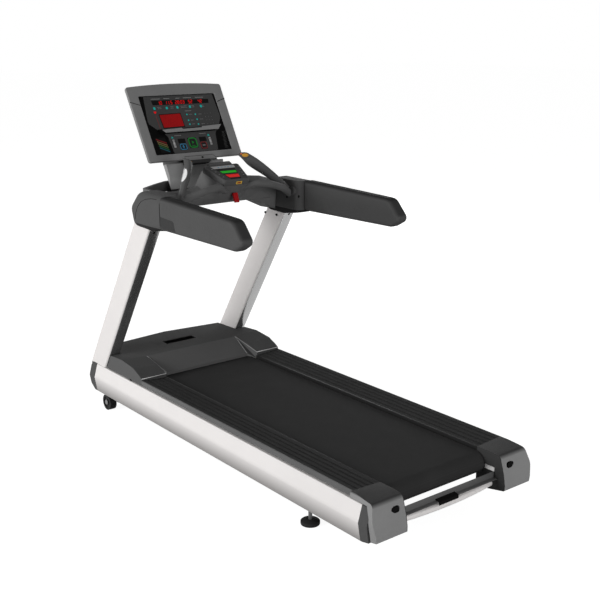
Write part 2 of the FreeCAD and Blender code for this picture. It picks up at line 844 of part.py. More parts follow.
def make_foot_rails():
    span = ("foot_rear", "hood_rear - seat")
    wall = "foot_wall"
    inner, outer = "(foot_inner + tread_margin)", "(foot_outer - tread_margin)"
    leg_in, leg_out = "(rail_inner + foot_leg_inset)", "(rail_outer - foot_leg_inset)"
    under = f"tread_depth + {wall}"
    foot = "rail_top + seat"
    profile = [
        ("foot_outer", "band_bottom"), ("foot_outer", "band_top", "2"), on_foot(outer),
        on_foot(outer, "tread_depth"), on_foot(inner, "tread_depth"), on_foot(inner),
        ("foot_inner", "flange_top", "2"), ("foot_inner", foot), (f"foot_inner + {wall}", foot),
        on_foot(f"(foot_inner + {wall})", under), on_foot(leg_in, under), (leg_in, foot),
        (f"{leg_in} + {wall}", foot), on_foot(f"({leg_in} + {wall})", under),
        on_foot(f"({leg_out} - {wall})", under), (f"{leg_out} - {wall}", foot), (leg_out, foot),
        on_foot(leg_out, under), on_foot(f"(foot_outer - {wall})", under),
        (f"foot_outer - {wall}", "band_bottom")]
    node(pair("foot_rails", prism("foot_rail", "y", span, profile)))
    left, right = f"({inner} + seat)", f"({outer} - seat)"
    base = "tread_depth - tread_base"
    count = int(num("rib_count"))
    rib = f"(({right} - {left} - (rib_count - 1) * rib_gap) / rib_count)"
    ribs = [on_foot(left, "tread_depth"), on_foot(right, "tread_depth")]
    for i in reversed(range(count)):
        start = f"({left} + {i} * ({rib} + rib_gap))"
        ribs += [on_foot(f"({start} + {rib})"), on_foot(start)]
        if i:
            ribs += [on_foot(start, base), on_foot(f"({start} - rib_gap)", base)]
    node(pair("foot_treads", prism("foot_tread", "y", span, ribs)))


# ---------------------------------------------------------------- side panels, boots and rear caps

def panel_outline(shift="0"):
    """The side panel's section, its two facets meeting at a soft crease, moved in by shift."""
    return [(f"panel_inner + {shift}", f"panel_bottom + {shift}"),
            (f"foot_outer + panel_bottom_out - {shift}", f"panel_bottom + {shift}", "crease_radius / 2"),
            (f"foot_outer + panel_crease_out - {shift}", "panel_crease_height", "crease_radius"),
            (f"foot_outer + panel_top_out - {shift}", f"panel_top - {shift}", "crease_radius / 2"),
            (f"panel_inner + {shift}", f"panel_top - {shift}")]


def make_side_panels():
    right = node(prism("side_panel_right", "y", ("panel_rear", "panel_front"),
                       panel_outline(), panel_outline("panel_wall")))
    node(mirror("side_panel_left", right))


def cap_form(name, inset):
    """The rear cap's block: a rounded side view crossed with a bulging end view."""
    side_view = [
        ("foot_rear", f"band_top + 1 - {inset}"),
        (f"rear_end + cap_crown_in + {inset}", f"cap_crown_height - {inset}", "cap_crown_in * 0.75"),
        (f"rear_end + cap_shoulder_in + {inset}", "cap_shoulder_height", "cap_crown_in * 2"),
        (f"rear_end + {inset}", f"cap_heel + cap_shin", "cap_wall * 4"),
        (f"rear_end + {inset}", f"cap_heel + {inset}", "cap_wall * 2"),
        ("panel_rear", f"cap_bottom + {inset}"),
        ("foot_rear", f"cap_bottom + {inset}")]
    end_view = [
        (f"foot_inner + {inset}", f"flange_top + 2 - {inset}"),
        (f"foot_inner + {inset}", f"cap_bottom - 2 + {inset}"),
        (f"foot_outer + cap_bottom_out - {inset}", f"cap_bottom - 2 + {inset}", "cap_wall * 2"),
        (f"cap_outer - {inset}", "cap_bulge_height", "cap_crown_in * 2"),
        (f"foot_outer + cap_top_out - {inset}", f"band_top - {inset}", "cap_wall * 3")]
    return common(name,
                  prism(name + "_side", "x", ("foot_inner", "cap_outer + 10"), side_view),
                  prism(name + "_end", "y", ("rear_end - 1", "foot_rear"), end_view))


CAP_SCREW = ("rear_end + cap_crown_in", "bow_height + 12")


def make_rear_caps():
    shell = cut("cap_shell", cap_form("cap_block", "0"), cap_form("cap_hollow", "cap_wall"))
    plate_seat = prism("plate_seat", "x", ("foot_outer - cap_band", "cap_outer + 20"), [
        ("foot_rear + 10", "band_bottom"), ("rear_end + groove_top_in", "band_bottom"),
        ("rear_end + groove_mid_in", "groove_mid_height"), ("rear_end + groove_mid_in + 2", "cap_bottom - 10"),
        ("foot_rear + 10", "cap_bottom - 10")])
    middle = "foot_inner + slot_inset"
    half = "(slot_width - slot_height) / 2"

    def adjust_slot(sketch):
        link(sketch, (f"{middle} - {half}", "slot_centre_height"), "slot_height / 2",
             (f"{middle} + {half}", "slot_centre_height"), "slot_height / 2")
    slot = extrusion("adjuster_slot", "y", ("rear_end - 2", "rear_end + groove_top_in"), adjust_slot)
    panel_way = box("panel_way", ("panel_inner - seat", "cap_outer + 20"),
                    ("panel_rear - seat", "foot_rear + 10"), ("cap_bottom - 10", "band_bottom"))
    inner_wall = ("foot_inner - 1", "foot_inner + cap_wall + 1")
    axle_way = box("axle_way", inner_wall, ("rear_roller - shaft_radius - 2 * seat", "foot_rear + 1"),
                   ("roller_height - shaft_radius - 2 * seat", "roller_height + shaft_radius + 2 * seat"))
    screw_way = rod("cap_screw_way", "x", "bolt_radius / 2 + fit", CAP_SCREW, inner_wall)
    right = node(cut("rear_cap_right", shell, plate_seat, slot, panel_way, axle_way, screw_way))
    node(mirror("rear_cap_left", right))


def make_end_plates():
    """Plates that close the side panels: one ahead of each rear cap, one boot at each front corner."""
    rear_side = [("panel_rear - seat", "panel_bottom"), ("panel_rear - seat", "panel_top"),
                 ("rear_end + groove_top_in + groove", "panel_top"),
                 ("rear_end + groove_mid_in + groove", "groove_mid_height"),
                 ("rear_end + groove_mid_in + groove + 2", "panel_bottom + 10")]
    outer = panel_outline()
    outer[0] = ("foot_outer - cap_band + seat", "panel_bottom")
    outer[-1] = ("foot_outer - cap_band + seat", "panel_top")
    plate = common("rear_plate",
                   prism("rear_plate_side", "x", ("rail_outer", "cap_outer + 10"), rear_side),
                   prism("rear_plate_end", "y", ("rear_end", "panel_rear"), outer))
    boot_side = [("panel_front + seat", "panel_bottom"), ("boot_front - boot_heel_in", "panel_bottom", "10"),
                 ("boot_front", "boot_nose_height - boot_nose", "10"),
                 ("boot_front", "boot_nose_height + boot_nose", "boot_brow_in * 0.4"),
                 ("boot_front - boot_brow_in", "panel_top + boot_rise", "boot_brow_in * 0.4"),
                 ("panel_front + seat", "panel_top + boot_rise / 3")]
    boot_outer = panel_outline()
    boot_outer[3] = ("foot_outer + panel_top_out - 3", "panel_top + boot_rise", "crease_radius")
    boot_outer[4] = ("panel_inner", "panel_top + boot_rise")
    boot = common("front_boot",
                  prism("front_boot_side", "x", ("panel_inner", "cap_outer + 10"), boot_side),
                  prism("front_boot_end", "y", ("panel_front", "boot_front"), boot_outer))
    upright_way = box("upright_way", ("panel_inner - 1", "upright_outer + seat"),
                      ("panel_front", "front_end - upright_setback + cover_strip + upright_depth + 3 * seat"),
                      ("rail_top", "rail_top + 2 * boot_rise"))
    boot = cut("cleared_boot", boot, upright_way)
    node(group("panel_end_caps", plate, mirror("rear_plate_left", plate),
               boot, mirror("front_boot_left", boot)))


def make_rear_rail():
    """The bowed silver tube between the caps and the dark bar above it."""
    half = "(foot_inner - seat)"
    sweep_radius = f"(({half} ^ 2 + bow_depth ^ 2) / (2 * bow_depth))"
    tube = doc.addObject("Part::Torus", "rear_tube_arc")
    tube.Placement = FreeCAD.Placement(Vector(), Rotation(Vector(0, 0, 1), 10))
    tube.setExpression("Radius1", ex(sweep_radius))
    tube.setExpression("Radius2", ex("bow_radius"))
    swing = f"asin(({half} + bow_radius) / {sweep_radius})"
    tube.setExpression("Angle3", ex(f"2 * {swing}"))
    tube.setExpression("Placement.Rotation.Angle", ex(f"270 deg - {swing}"))
    tube.setExpression("Placement.Base.y", ex(f"rear_end + bow_setback + {sweep_radius}"))
    tube.setExpression("Placement.Base.z", ex("bow_height"))
    width = (f"-{half}", half)
    node(common("rear_tube", tube, box("rear_tube_span", width, ("rear_end - 100", "rear_end + 200"),
                                       ("bow_height - 50", "bow_height + 50"))))
    web = box("rear_bar_web", width, ("bar_y - bar_plate", "bar_y"), ("bar_bottom", "bar_top"))
    shelf = box("rear_bar_shelf", width, ("bar_y - bar_shelf_depth", "bar_y"),
                ("bar_bottom", "bar_bottom + bar_plate"))
    blank = box("rear_bar_blank", ("-(blank_half)", "blank_half"),
                ("bar_y - bar_plate - 2 - blank_depth", "bar_y - bar_plate - 2"),
                ("bar_bottom + bar_plate", "bar_bottom + bar_plate * 1.5"))
    node(group("rear_bar", fuse("rear_bar_angle", web, shelf), blank))


# ---------------------------------------------------------------- hood and front cover

def faceted(triangles):
    """A solid from triangles given as points."""
    faces = []
    for corners in triangles:
        faces.append(Part.Face(Part.makePolygon([*corners, corners[0]])))
    shell = Part.Shell(faces)
    shell.sewShape()
    solid = Part.Solid(shell)
    if solid.Volume < 0:
        solid.reverse()
    return solid


def hood_form(inset, skirt):
    """The hood's faceted block, moved in by inset, with its open sides run out by skirt."""
    belt = num("belt_top")
    rear = num("hood_rear") + inset
    side, mid = num("hood_side") - inset, num("hood_mid") - inset
    lip_x = num("foot_inner + hood_lip_inset") + inset
    floor = num("hood_foot") - skirt
    front = num("hood_front") + skirt
    top = -inset

    def point(x, y_in, z):
        return Vector(x, rear + y_in, z + top)

    facet_x = num("foot_inner - facet_foot_inset")
    facet_foot = point(facet_x, num("facet_foot_in") , belt + num("facet_foot"))
    facet_top = point(num("foot_inner"), num("facet_top_in"), belt + num("hood_deck - 3"))
    facet_base = Vector(facet_x, facet_foot.y, floor)
    valley = Vector(lip_x, rear, floor)
    lip = point(lip_x, 0, belt + num("hood_lip - 3"))
    lip_out = point(side, 0, belt + num("hood_lip - 3"))
    lip_floor = Vector(side, rear, floor)
    knee_in = point(lip_x, num("hood_knee_in"), belt + num("hood_knee - 9"))
    knee = point(side, num("hood_knee_in"), belt + num("hood_knee - 3"))
    brow_in = point(lip_x - 2, num("hood_brow_in"), belt + num("hood_brow - 16"))
    brow = point(side, num("hood_brow_in"), belt + num("hood_brow - 3"))
    deck_out = point(side, num("facet_top_in"), belt + num("hood_shoulder - 3"))
    step_y = num("hood_shoulder_in") - inset
    step_z = belt + num("hood_step - 3")
    step_in, step = point(mid, step_y, step_z), point(side, step_y, step_z)
    fall = step.z - floor
    step_floor, step_floor_in = (Vector(x, step.y + fall * num("lean"), floor) for x in (side, mid))
    ridge = Vector(mid, front, belt + num("hood_ridge_side") + top)
    ridge_mid = Vector(0, front, belt + num("hood_ridge - 3") + top)
    ridge_floor = Vector(mid, front, floor)
    centre_floor = Vector(0, front, floor)
    rear_mid = Vector(0, facet_foot.y, facet_foot.z)
    rear_floor = Vector(0, facet_foot.y, floor)
    top_mid = Vector(0, facet_top.y, facet_top.z)
    half = [
        (rear_mid, facet_foot, facet_top), (rear_mid, facet_top, top_mid),
        (facet_foot, facet_base, valley), (facet_foot, valley, facet_top), (facet_top, valley, lip),
        (valley, lip_floor, lip_out), (valley, lip_out, lip),
        (lip, lip_out, knee), (lip, knee, knee_in), (knee_in, knee, brow), (knee_in, brow, brow_in),
        (brow_in, brow, deck_out), (brow_in, deck_out, facet_top),
        (lip, knee_in, facet_top), (knee_in, brow_in, facet_top),
        (lip_out, lip_floor, knee), (knee, lip_floor, brow), (brow, lip_floor, deck_out),
        (deck_out, lip_floor, step), (step, lip_floor, step_floor),
        (facet_top, deck_out, step_in), (deck_out, step, step_in),
        (step_in, step, step_floor), (step_in, step_floor, step_floor_in),
        (facet_top, step_in, ridge), (facet_top, ridge, ridge_mid), (top_mid, facet_top, ridge_mid),
        (step_in, step_floor_in, ridge), (ridge, step_floor_in, ridge_floor),
        (ridge_mid, ridge, ridge_floor), (ridge_mid, ridge_floor, centre_floor),
        (rear_mid, rear_floor, facet_base), (rear_mid, facet_base, facet_foot),
        (rear_floor, centre_floor, ridge_floor), (rear_floor, ridge_floor, step_floor_in),
        (rear_floor, step_floor_in, step_floor), (rear_floor, step_floor, lip_floor),
        (rear_floor, lip_floor, valley), (rear_floor, valley, facet_base)]
    other = [tuple(Vector(-p.x, p.y, p.z) for p in reversed(face)) for face in half]
    return faceted(half + other)


def make_hood():
    shell = cut("hood_shell", shaped("hood_outside", hood_form(0, 0)),
                shaped("hood_inside", hood_form(num("hood_wall"), 60)))
    vent_y = "front_end - vent_setback"
    vent = box("hood_vent", ("-(vent_half)", "vent_half"), (vent_y, f"{vent_y} + vent_length"),
               ("belt_top + hood_lip", "belt_top + 2 * hood_ridge"))
    belt_way = box("belt_way", ("-(foot_inner) - 1", "foot_inner + 1"), ("hood_rear - 1", "front_roller + 60"),
                   ("rail_top - 5", "belt_top + seat * 8"))
    node(cut("hood", shell, vent, belt_way))


def make_front_cover():
    """The upright cover ahead of the hood, its cheeks outside the rails, and the supply lead's socket."""
    wall = "cover_wall"
    cheek = "panel_inner + cover_wall"
    crest = "belt_top + hood_ridge_side - 1"
    brow_y, brow_z = "hood_front + cover_brow_in", "belt_top + cover_brow"
    profile = [
        ("hood_front + seat", crest), (brow_y, brow_z, "20"), ("cover_face", "rail_top - cover_chin", "30"),
        ("cover_face", "cover_bottom"), (f"cover_face - {wall}", "cover_bottom"),
        (f"cover_face - {wall}", "rail_top - cover_chin", f"30 - {wall}"),
        (f"{brow_y} - {wall}", f"{brow_z} - {wall}", f"20 - {wall}"),
        ("hood_front + seat", f"{crest} - 1.5 * {wall}")]
    full = prism("front_cover_wall", "x", (f"-({cheek})", cheek), profile)
    side_view = [("boot_front + seat", "cover_bottom"), ("cover_face", "cover_bottom"), profile[2],
                 (brow_y, brow_z), ("boot_front + seat", brow_z)]
    side = prism("cover_cheek", "x", ("panel_inner", cheek), side_view)
    corners = [box(f"cover_corner_{i}", x, ("hood_front - 5", "front_end + 5"), ("rail_top", "belt_top + 120"))
               for i, x in enumerate((("hood_mid", f"{cheek} + 5"), (f"-({cheek}) - 5", "-(hood_mid)")))]
    inlet_x = ("-(inlet_offset) - inlet_half", "-(inlet_offset) + inlet_half")
    inlet_z = ("inlet_centre - inlet_height / 2", "inlet_centre + inlet_height / 2")
    opening = box("inlet_opening", (f"{inlet_x[0]} - seat", f"{inlet_x[1]} + seat"),
                  ("cover_face - 20", "front_end + 5"), (f"{inlet_z[0]} - seat", f"{inlet_z[1]} + seat"))
    walls = fuse("cover_walls", full, side, mirror("cover_cheek_left", side))
    node(cut("front_cover", walls, *corners, opening))
    shell = box("inlet_shell", inlet_x, ("cover_face - inlet_depth", "cover_face + inlet_out"), inlet_z)
    recess = box("inlet_recess", (f"{inlet_x[0]} + 4", f"{inlet_x[1]} - 4"),
                 ("cover_face - inlet_depth + 4", "front_end + 5"), (f"{inlet_z[0]} + 4", f"{inlet_z[1]} - 4"))
    blades = [box(f"inlet_blade_{i}", (f"{x} - 1", f"{x} + 1"),
                  ("cover_face - inlet_depth + 3", "cover_face - 4"), ("inlet_centre - 4", "inlet_centre + 4"))
              for i, x in enumerate(("-(inlet_offset) - 8", "-(inlet_offset)", "-(inlet_offset) + 8"))]
    node(fuse("power_inlet", cut("inlet_case", shell, recess), *blades))


# ---------------------------------------------------------------- drive

def make_drive():
    at = ("motor_y", "motor_height")
    span = ("-(motor_outer)", "-(motor_inner)")
    can = rod("motor_can", "x", "motor_radius", at, span)
    tray = "rail_bottom + tray_thickness"
    feet = [box(f"motor_foot_{i}", span,
                (f"motor_y + {side} * motor_foot - 10", f"motor_y + {side} * motor_foot + 10"),
                (tray, "motor_height - motor_radius * 0.7")) for i, side in enumerate((1, -1))]
    hollow = rod("motor_hollow", "x", "motor_radius - motor_wall", at,
                 (f"{span[0]} + motor_wall", f"{span[1]} - motor_wall"))
    shaft_hole = rod("motor_shaft_hole", "x", "motor_shaft_radius + fit", at,
                     (f"{span[0]} - 1", f"{span[1]} + 1"))
    node(cut("drive_motor", fuse("motor_case", can, *feet), hollow, shaft_hole))
    rotor = fuse("motor_rotor",
                 rod("rotor_core", "x", "rotor_radius", at,
                     (f"{span[0]} + 3 * motor_wall", f"{span[1]} - 3 * motor_wall")),
                 rod("rotor_shaft", "x", "motor_shaft_radius", at, ("-(pulley_outer)", f"{span[1]} + 8")),
                 rod("rotor_pulley", "x", "motor_pulley_radius", at, ("-(pulley_outer)", "-(pulley_inner)")))
    node(rotor)

    def drive_loop(sketch):
        for extra in ("drive_belt_thickness + seat", "seat"):
            link(sketch, ("front_roller", "roller_height"), f"roller_pulley_radius + {extra}",
                 ("motor_y", "motor_height"), f"motor_pulley_radius + {extra}")
    start = "-(pulley_inner) - (pulley_width + drive_belt_width) / 2"
    node(extrusion("drive_belt", "x", (start, f"{start} + drive_belt_width"), drive_loop))
    x = ("controller_inner", "controller_outer")
    y = ("front_end - controller_setback", "front_end - controller_setback + controller_length")
    top = f"{tray} + controller_height"
    pitch = "(controller_outer - controller_inner - fin_thickness) / (fin_count - 1)"
    fins = []
    for i in range(int(num("fin_count"))):
        low = f"controller_inner + {i} * {pitch}"
        fins.append(box(f"fin_{i}", (low, f"{low} + fin_thickness"), y, (f"{top} - 1", f"{top} + fin_height")))
    node(fuse("motor_controller", box("controller_case", x, y, (tray, top)), *fins))


# ---------------------------------------------------------------- incline

def link_plate(name, x, start, start_radius, end, end_radius, slot=None):
    def draw(sketch):
        link(sketch, start, start_radius, end, end_radius)
        if slot:
            link(sketch, slot[0], "lift_pin_radius + lift_pin_play", slot[1], "lift_pin_radius + lift_pin_play")
    return extrusion(name, "x", x, draw)


def make_lift():
    """Wheel frame on two pivot pins, pushed by a screw through a slotted lever."""
    pivot, wheel = ("pivot_y", "pivot_height"), ("wheel_y", "wheel_radius")
    arm_in = "(arm_plate_outer - lift_arm)"
    tube = rod("pivot_tube", "x", "pivot_tube_radius", pivot, ("-(arm_plate_outer)", "arm_plate_outer"))
    parts = [tube]
    reach = "(lever_height / cos(lever_swing))"
    top_y, top_z = f"pivot_y - {reach} * sin(lever_swing)", f"pivot_height + {reach} * cos(lever_swing)"
    slot_ends = [(f"pivot_y - ({reach} + {move}) * sin(lever_swing)",
                  f"pivot_height + ({reach} + {move}) * cos(lever_swing)")
                 for move in ("-(lift_slot_half + 4)", "lift_slot_half - 4")]
    tip = (f"pivot_y - ({reach} + lift_slot_half - 4) * sin(lever_swing)",
           f"pivot_height + ({reach} + lift_slot_half - 4) * cos(lever_swing)")
    for i, side in enumerate((1, -1)):
        flip = (lambda low, high: (low, high)) if side > 0 else (lambda low, high: (f"-({high})", f"-({low})"))
        parts.append(link_plate(f"lift_arm_{i}", flip(arm_in, "arm_plate_outer"), pivot, "arm_half + 4",
                                wheel, "arm_half - 2"))
        parts.append(rod(f"wheel_spacer_{i}", "x", "wheel_axle_radius * 1.6", wheel,
                         flip("arm_plate_outer - 1", "wheel_inner - seat")))
        parts.append(rod(f"wheel_axle_{i}", "x", "wheel_axle_radius", wheel, flip(arm_in, "wheel_outer + 2")))
        parts.append(link_plate(f"lift_lever_{i}", flip("lever_gap", "lever_gap + lever_plate"), pivot,
                                "pivot_tube_radius", tip, "lever_half", slot_ends))
    bore = rod("pivot_bore", "x", "pivot_pin_radius + fit", pivot, ("-(rail_inner)", "rail_inner"))
    node(cut("lift_frame", fuse("lift_weldment", *parts), bore))

    screw = rod("lift_screw_rod", "y", "lift_screw_radius", ("0", "lever_top"),
                ("lever_rest", "lever_rest + lift_screw_length"))
    eye = box("lift_screw_eye", ("-(lever_gap) + 3", "lever_gap - 3"),
              ("lever_rest - 11", "lever_rest + 14"), ("lever_top - 11", "lever_top + 11"))
    pin = rod("lift_pin", "x", "lift_pin_radius", ("lever_rest", "lever_top"),
              ("-(lever_gap + lever_plate) - 3", "lever_gap + lever_plate + 3"))
    node(fuse("lift_screw", screw, eye, pin))

    case = box("lift_motor_case", ("-(lift_motor_half)", "lift_motor_half"),
               ("lift_motor_rear", "lift_motor_rear + lift_motor_length"),
               ("rail_bottom + tray_thickness", "rail_bottom + tray_thickness + lift_motor_height"))
    way = rod("lift_motor_way", "y", "lift_screw_radius + fit", ("0", "lever_top"),
              ("lift_motor_rear - 1", "lift_motor_rear + lift_motor_length + 1"))
    node(cut("lift_motor", case, way))

    at = ("wheel_y", "wheel_radius")
    tyre = rod("wheel_tyre", "x", "wheel_radius", at, ("wheel_inner", "wheel_outer"))
    dish = cut("wheel_dish", rod("wheel_dish_disc", "x", "wheel_radius * 0.72", at,
                                 ("wheel_outer - 6", "wheel_outer + 1")),
               rod("wheel_hub", "x", "wheel_radius * 0.36", at, ("wheel_outer - 7", "wheel_outer + 2")))
    bore = rod("wheel_bore", "x", "wheel_axle_radius + fit", at, ("wheel_inner - 1", "wheel_outer + 1"))
    right = node(cut("front_wheel_right", tyre, dish, bore))
    node(mirror("front_wheel_left", right))


def make_levelers():
    at = ("leveler_x", "leveler_y")
    pad = rod("leveler_pad", "z", "pad_radius", at, ("0", "pad_height"))
    stem = rod("leveler_stem", "z", "stem_radius", at, ("pad_height - 1", "stem_length"))
    nut = rod("leveler_nut", "z", "nut_radius", at, ("rail_bottom - seat - nut_height", "rail_bottom - seat"))
    collar = rod("leveler_collar", "z", "nut_radius", at, ("pad_height - 1", "pad_height + nut_height / 2"))
    right = node(fuse("leveler_right", pad, stem, nut, collar))
    node(mirror("leveler_left", right))


# ---------------------------------------------------------------- uprights

def leaning(z, forward="0"):
    """A point in Y and Z at height z on the uprights' rear face, moved forward."""
    return (f"front_end - upright_setback + seat - lean * ({z} - rail_top) + {forward}", z)


def leaning_prism(name, x, low, high, back, depth):
    """A block that follows the uprights' lean."""
    return prism(name, "x", x, [leaning(low, back), leaning(low, f"{back} + {depth}"),
                                leaning(high, f"{back} + {depth}"), leaning(high, back)])


def lengthwise(edge):
    """Whether an edge runs along the upright."""
    start, end = edge.Vertexes[0].Point, edge.Vertexes[-1].Point
    return abs(end.z - start.z) > 100


def make_uprights():
    top = "head_height + upright_overlap"
    x = ("upright_inner", "upright_outer")
    outside = soften(leaning_prism("upright_tube", x, "upright_foot", top, "cover_strip", "upright_depth"),
                     "upright_round", lengthwise)
    wall = "upright_wall"
    hollow = leaning_prism("upright_bore", (f"{x[0]} + {wall}", f"{x[1]} - {wall}"), "upright_foot - 20",
                           f"{top} + 20", f"cover_strip + 1.3 * {wall}", f"upright_depth - 2.6 * {wall}")
    bolts, holes = [], []
    bolt_z = "head_height - bolt_drop"
    rear_y = leaning(bolt_z, "cover_strip")[0]
    for i, forward in enumerate(("upright_depth * 0.36", "upright_depth")):
        y = f"{rear_y} + {forward} - upright_depth * 0.04"
        holes.append(rod(f"bolt_hole_{i}", "x", "bolt_radius + fit", (y, bolt_z),
                         (f"{x[0]} - 1", f"{x[0]} + 12")))
        shank = rod(f"bolt_shank_{i}", "x", "bolt_radius", (y, bolt_z), (f"{x[0]} - 1", f"{x[0]} + {wall} + 1"))
        head = rod(f"bolt_head_{i}", "x", "bolt_head_radius", (y, bolt_z), (f"{x[0]} - bolt_head", x[0]))
        bolts.append(fuse(f"bolt_{i}", shank, head))
    right = node(cut("upright_right", outside, hollow, *holes))
    node(mirror("upright_left", right))
    strip_x = (f"{x[0]} + cover_margin", f"{x[1]} - cover_margin")
    strip = leaning_prism("upright_cover", strip_x, "upright_foot", "head_height - 6", "0", "cover_strip - 0.2")
    node(pair("upright_covers", strip))
    return bolts


def make_fasteners(bolts):
    """Upright bolts, rear tension bolts and the caps' side screws, all identical in kind."""
    x, z = "foot_inner + slot_inset", "slot_centre_height"
    shank = rod("tension_shank", "y", "bolt_radius", (x, z),
                ("rear_end + cap_crown_in", "rear_roller - shaft_radius - 1"))
    head = rod("tension_head", "y", "bolt_head_radius * 1.3", (x, z),
               ("rear_end + cap_crown_in - 4", "rear_end + cap_crown_in + 4"))
    tension = fuse("tension_bolt", shank, head)
    screw = fuse("cap_screw",
                 rod("cap_screw_head", "x", "bolt_radius", CAP_SCREW, ("foot_inner - 1.5", "foot_inner")),
                 rod("cap_screw_shank", "x", "bolt_radius / 2", CAP_SCREW,
                     ("foot_inner - 1", "foot_inner + 2")))
    rights = [*bolts, tension, screw]
    node(group("fasteners", *rights, *(mirror(f"fastener_left_{i}", item) for i, item in enumerate(rights))))


# ---------------------------------------------------------------- head: shoulders, arms, steel

def head(dy, dz, radius=None):
    """A point in Y and Z measured from the top of the uprights."""
    place = (f"head_y + ({dy})", f"head_height + ({dz})")
    return place if radius is None else (*place, radius)


def side_edges(*faces_x):
    """Pick the edges that lie in one of the given planes of constant x."""
    def chosen(edge):
        box_ = edge.BoundBox
        return any(abs(box_.XMin - x) < 0.01 and abs(box_.XMax - x) < 0.01 for x in faces_x)
    return chosen


def make_console_frame():
    """Welded steel: a cross bar, two arm cores, two legs in the uprights and the mast tube."""
    core_z = ("core_z", "core_z + core_height")
    bar_y = ("head_y + crossbar_in", "head_y + crossbar_in + crossbar_depth")
    wall = "upright_wall"
    parts = [box("crossbar", ("-(core_outer)", "core_outer"), bar_y, core_z)]
    clear = [box("crossbar_way", ("-(core_outer) - slack", "core_outer + slack"),
                 (f"{bar_y[0]} - slack", f"{bar_y[1]} + slack"),
                 ("core_z - slack", "core_z + core_height + slack"))]
    leg_x = (f"upright_inner + {wall} + slack", f"upright_outer - {wall} - slack")
    core = splay(slab("arm_core", ("core_inner", "core_outer"), ("head_y - core_reach", bar_y[1]), core_z))
    core_way = splay(slab("arm_core_way", ("core_inner - slack", "core_outer + slack"),
                          ("head_y - core_reach - slack", f"{bar_y[1]} + slack"),
                          ("core_z - slack", "core_z + core_height + slack")))
    rear, depth = f"cover_strip + 1.3 * {wall} + slack", f"upright_depth - 2.6 * {wall} - 2 * slack"
    leg = leaning_prism("leg", leg_x, "head_height - leg_height", "core_z + core_height / 2", rear, depth)
    leg_way = leaning_prism("leg_way", (f"{leg_x[0]} - slack", f"{leg_x[1]} + slack"), "head_height - 20",
                            "core_z + core_height / 2 + slack", f"{rear} - slack", f"{depth} + 2 * slack")
    parts += [core, mirror("arm_core_left", core), leg, mirror("leg_left", leg)]
    clear += [core_way, mirror("arm_core_way_left", core_way), leg_way, mirror("leg_way_left", leg_way)]
    tube_x = ("-(mast_tube_half)", "mast_tube_half")
    back = "-(bezel_depth + back_depth) - seat"
    tube = monitor_place(slab("mast_tube", tube_x, ("-(mast_foot) - 30", "mast_hub - 8"),
                              (f"{back} - mast_tube_depth", back)))
    spine = box("mast_spine", tube_x, (f"{bar_y[0]} + 2", "head_y + monitor_forward + 2"),
                ("core_z", "core_z + core_height"))
    spine_way = box("mast_spine_way", ("-(mast_tube_half) - slack", "mast_tube_half + slack"),
                    (f"{bar_y[0]} + 2", "head_y + monitor_forward + 4 * slack"),
                    ("core_z - slack", "core_z + core_height + slack"))
    node(fuse("console_frame", *parts, tube, spine))
    tube_way = monitor_place(slab("mast_tube_way", ("-(mast_tube_half) - slack", "mast_tube_half + slack"),
                                  ("-(mast_foot) - 30 - slack", "mast_hub - 8 + slack"),
                                  (f"{back} - mast_tube_depth - slack", f"{back} + 20")))
    return fuse("steel_way", *clear, spine_way), tube_way


def make_shoulders(steel_way):
    corners = [head("-shoulder_rear", "shoulder_top"), head("shoulder_front * 0.5", "shoulder_top + 2", "60"),
               head("shoulder_front", "shoulder_top * 0.56", "44"), head("shoulder_front - 28", "2", "40"),
               head("-14", "-3", "40"), head("-shoulder_rear", "13")]
    block = prism("shoulder_block", "x", ("shoulder_inner", "shoulder_outer"), corners)

    def outer_rim(edge):
        in_plane = side_edges(num("shoulder_outer"))(edge)
        return in_plane and edge.BoundBox.YMax > num("shoulder_back") + 0.01

    def rear_inner_corner(edge):
        span = edge.BoundBox
        return (side_edges(num("shoulder_inner"))(edge) and abs(span.YMax - num("shoulder_back")) < 0.01
                and span.ZLength > 1)
    soften(block, "shoulder_round", outer_rim)
    soften(block, "shoulder_blend", rear_inner_corner)
    socket = leaning_prism("upright_socket", ("upright_inner - slack", "upright_outer + slack"), "head_height - 40",
                           "head_height + upright_overlap + slack", "-(slack)",
                           "upright_depth + cover_strip + 2 * slack")
    right = node(cut("shoulder_right", block, socket, steel_way))
    node(mirror("shoulder_left", right))


def make_arms(steel_way):
    nose = "-arm_reach"
    corners = [("arm_front", "head_height + shoulder_top - 1"),
               ("arm_front", "head_height + 20"),
               head(f"{nose} + arm_bottom_in", "arm_bottom", "arm_corner * 0.7"),
               head(nose, "arm_nose", "arm_corner * 0.5"),
               head(f"{nose} + arm_top_in", "shoulder_top - arm_top_drop", "arm_corner")]
    block = prism("arm_block", "x", ("arm_inner", "arm_outer"), corners)

    def long_rim(edge):
        in_plane = side_edges(num("arm_inner"), num("arm_outer"))(edge)
        return in_plane and edge.BoundBox.YMin < num("arm_front") - 1
    soften(block, "arm_round", long_rim)

    def patch(gap):
        return [(f"arm_front - {gap}", "head_height + 10"),
                (f"arm_front - {gap}", f"head_height + panel_patch_height - {gap}"),
                (f"arm_front - panel_patch_length + {gap}", f"head_height + panel_patch_height - 4 - {gap}",
                 "14"),
                (f"arm_front - panel_patch_length - 17 + {gap}", "head_height + 10")]
    recess = prism("patch_recess", "x", ("arm_outer - panel_patch_depth", "arm_outer + 10"), patch("0"))
    cover = common("patch_blank", block,
                   prism("patch_form", "x", ("arm_outer - panel_patch_depth + seat", "arm_outer + 10"),
                         patch("seat")))
    right = node(cut("arm_right", splay(cut("arm_pad", block, recess)), steel_way))
    node(mirror("arm_left", right))
    node(pair("arm_panels", splay(cover)))


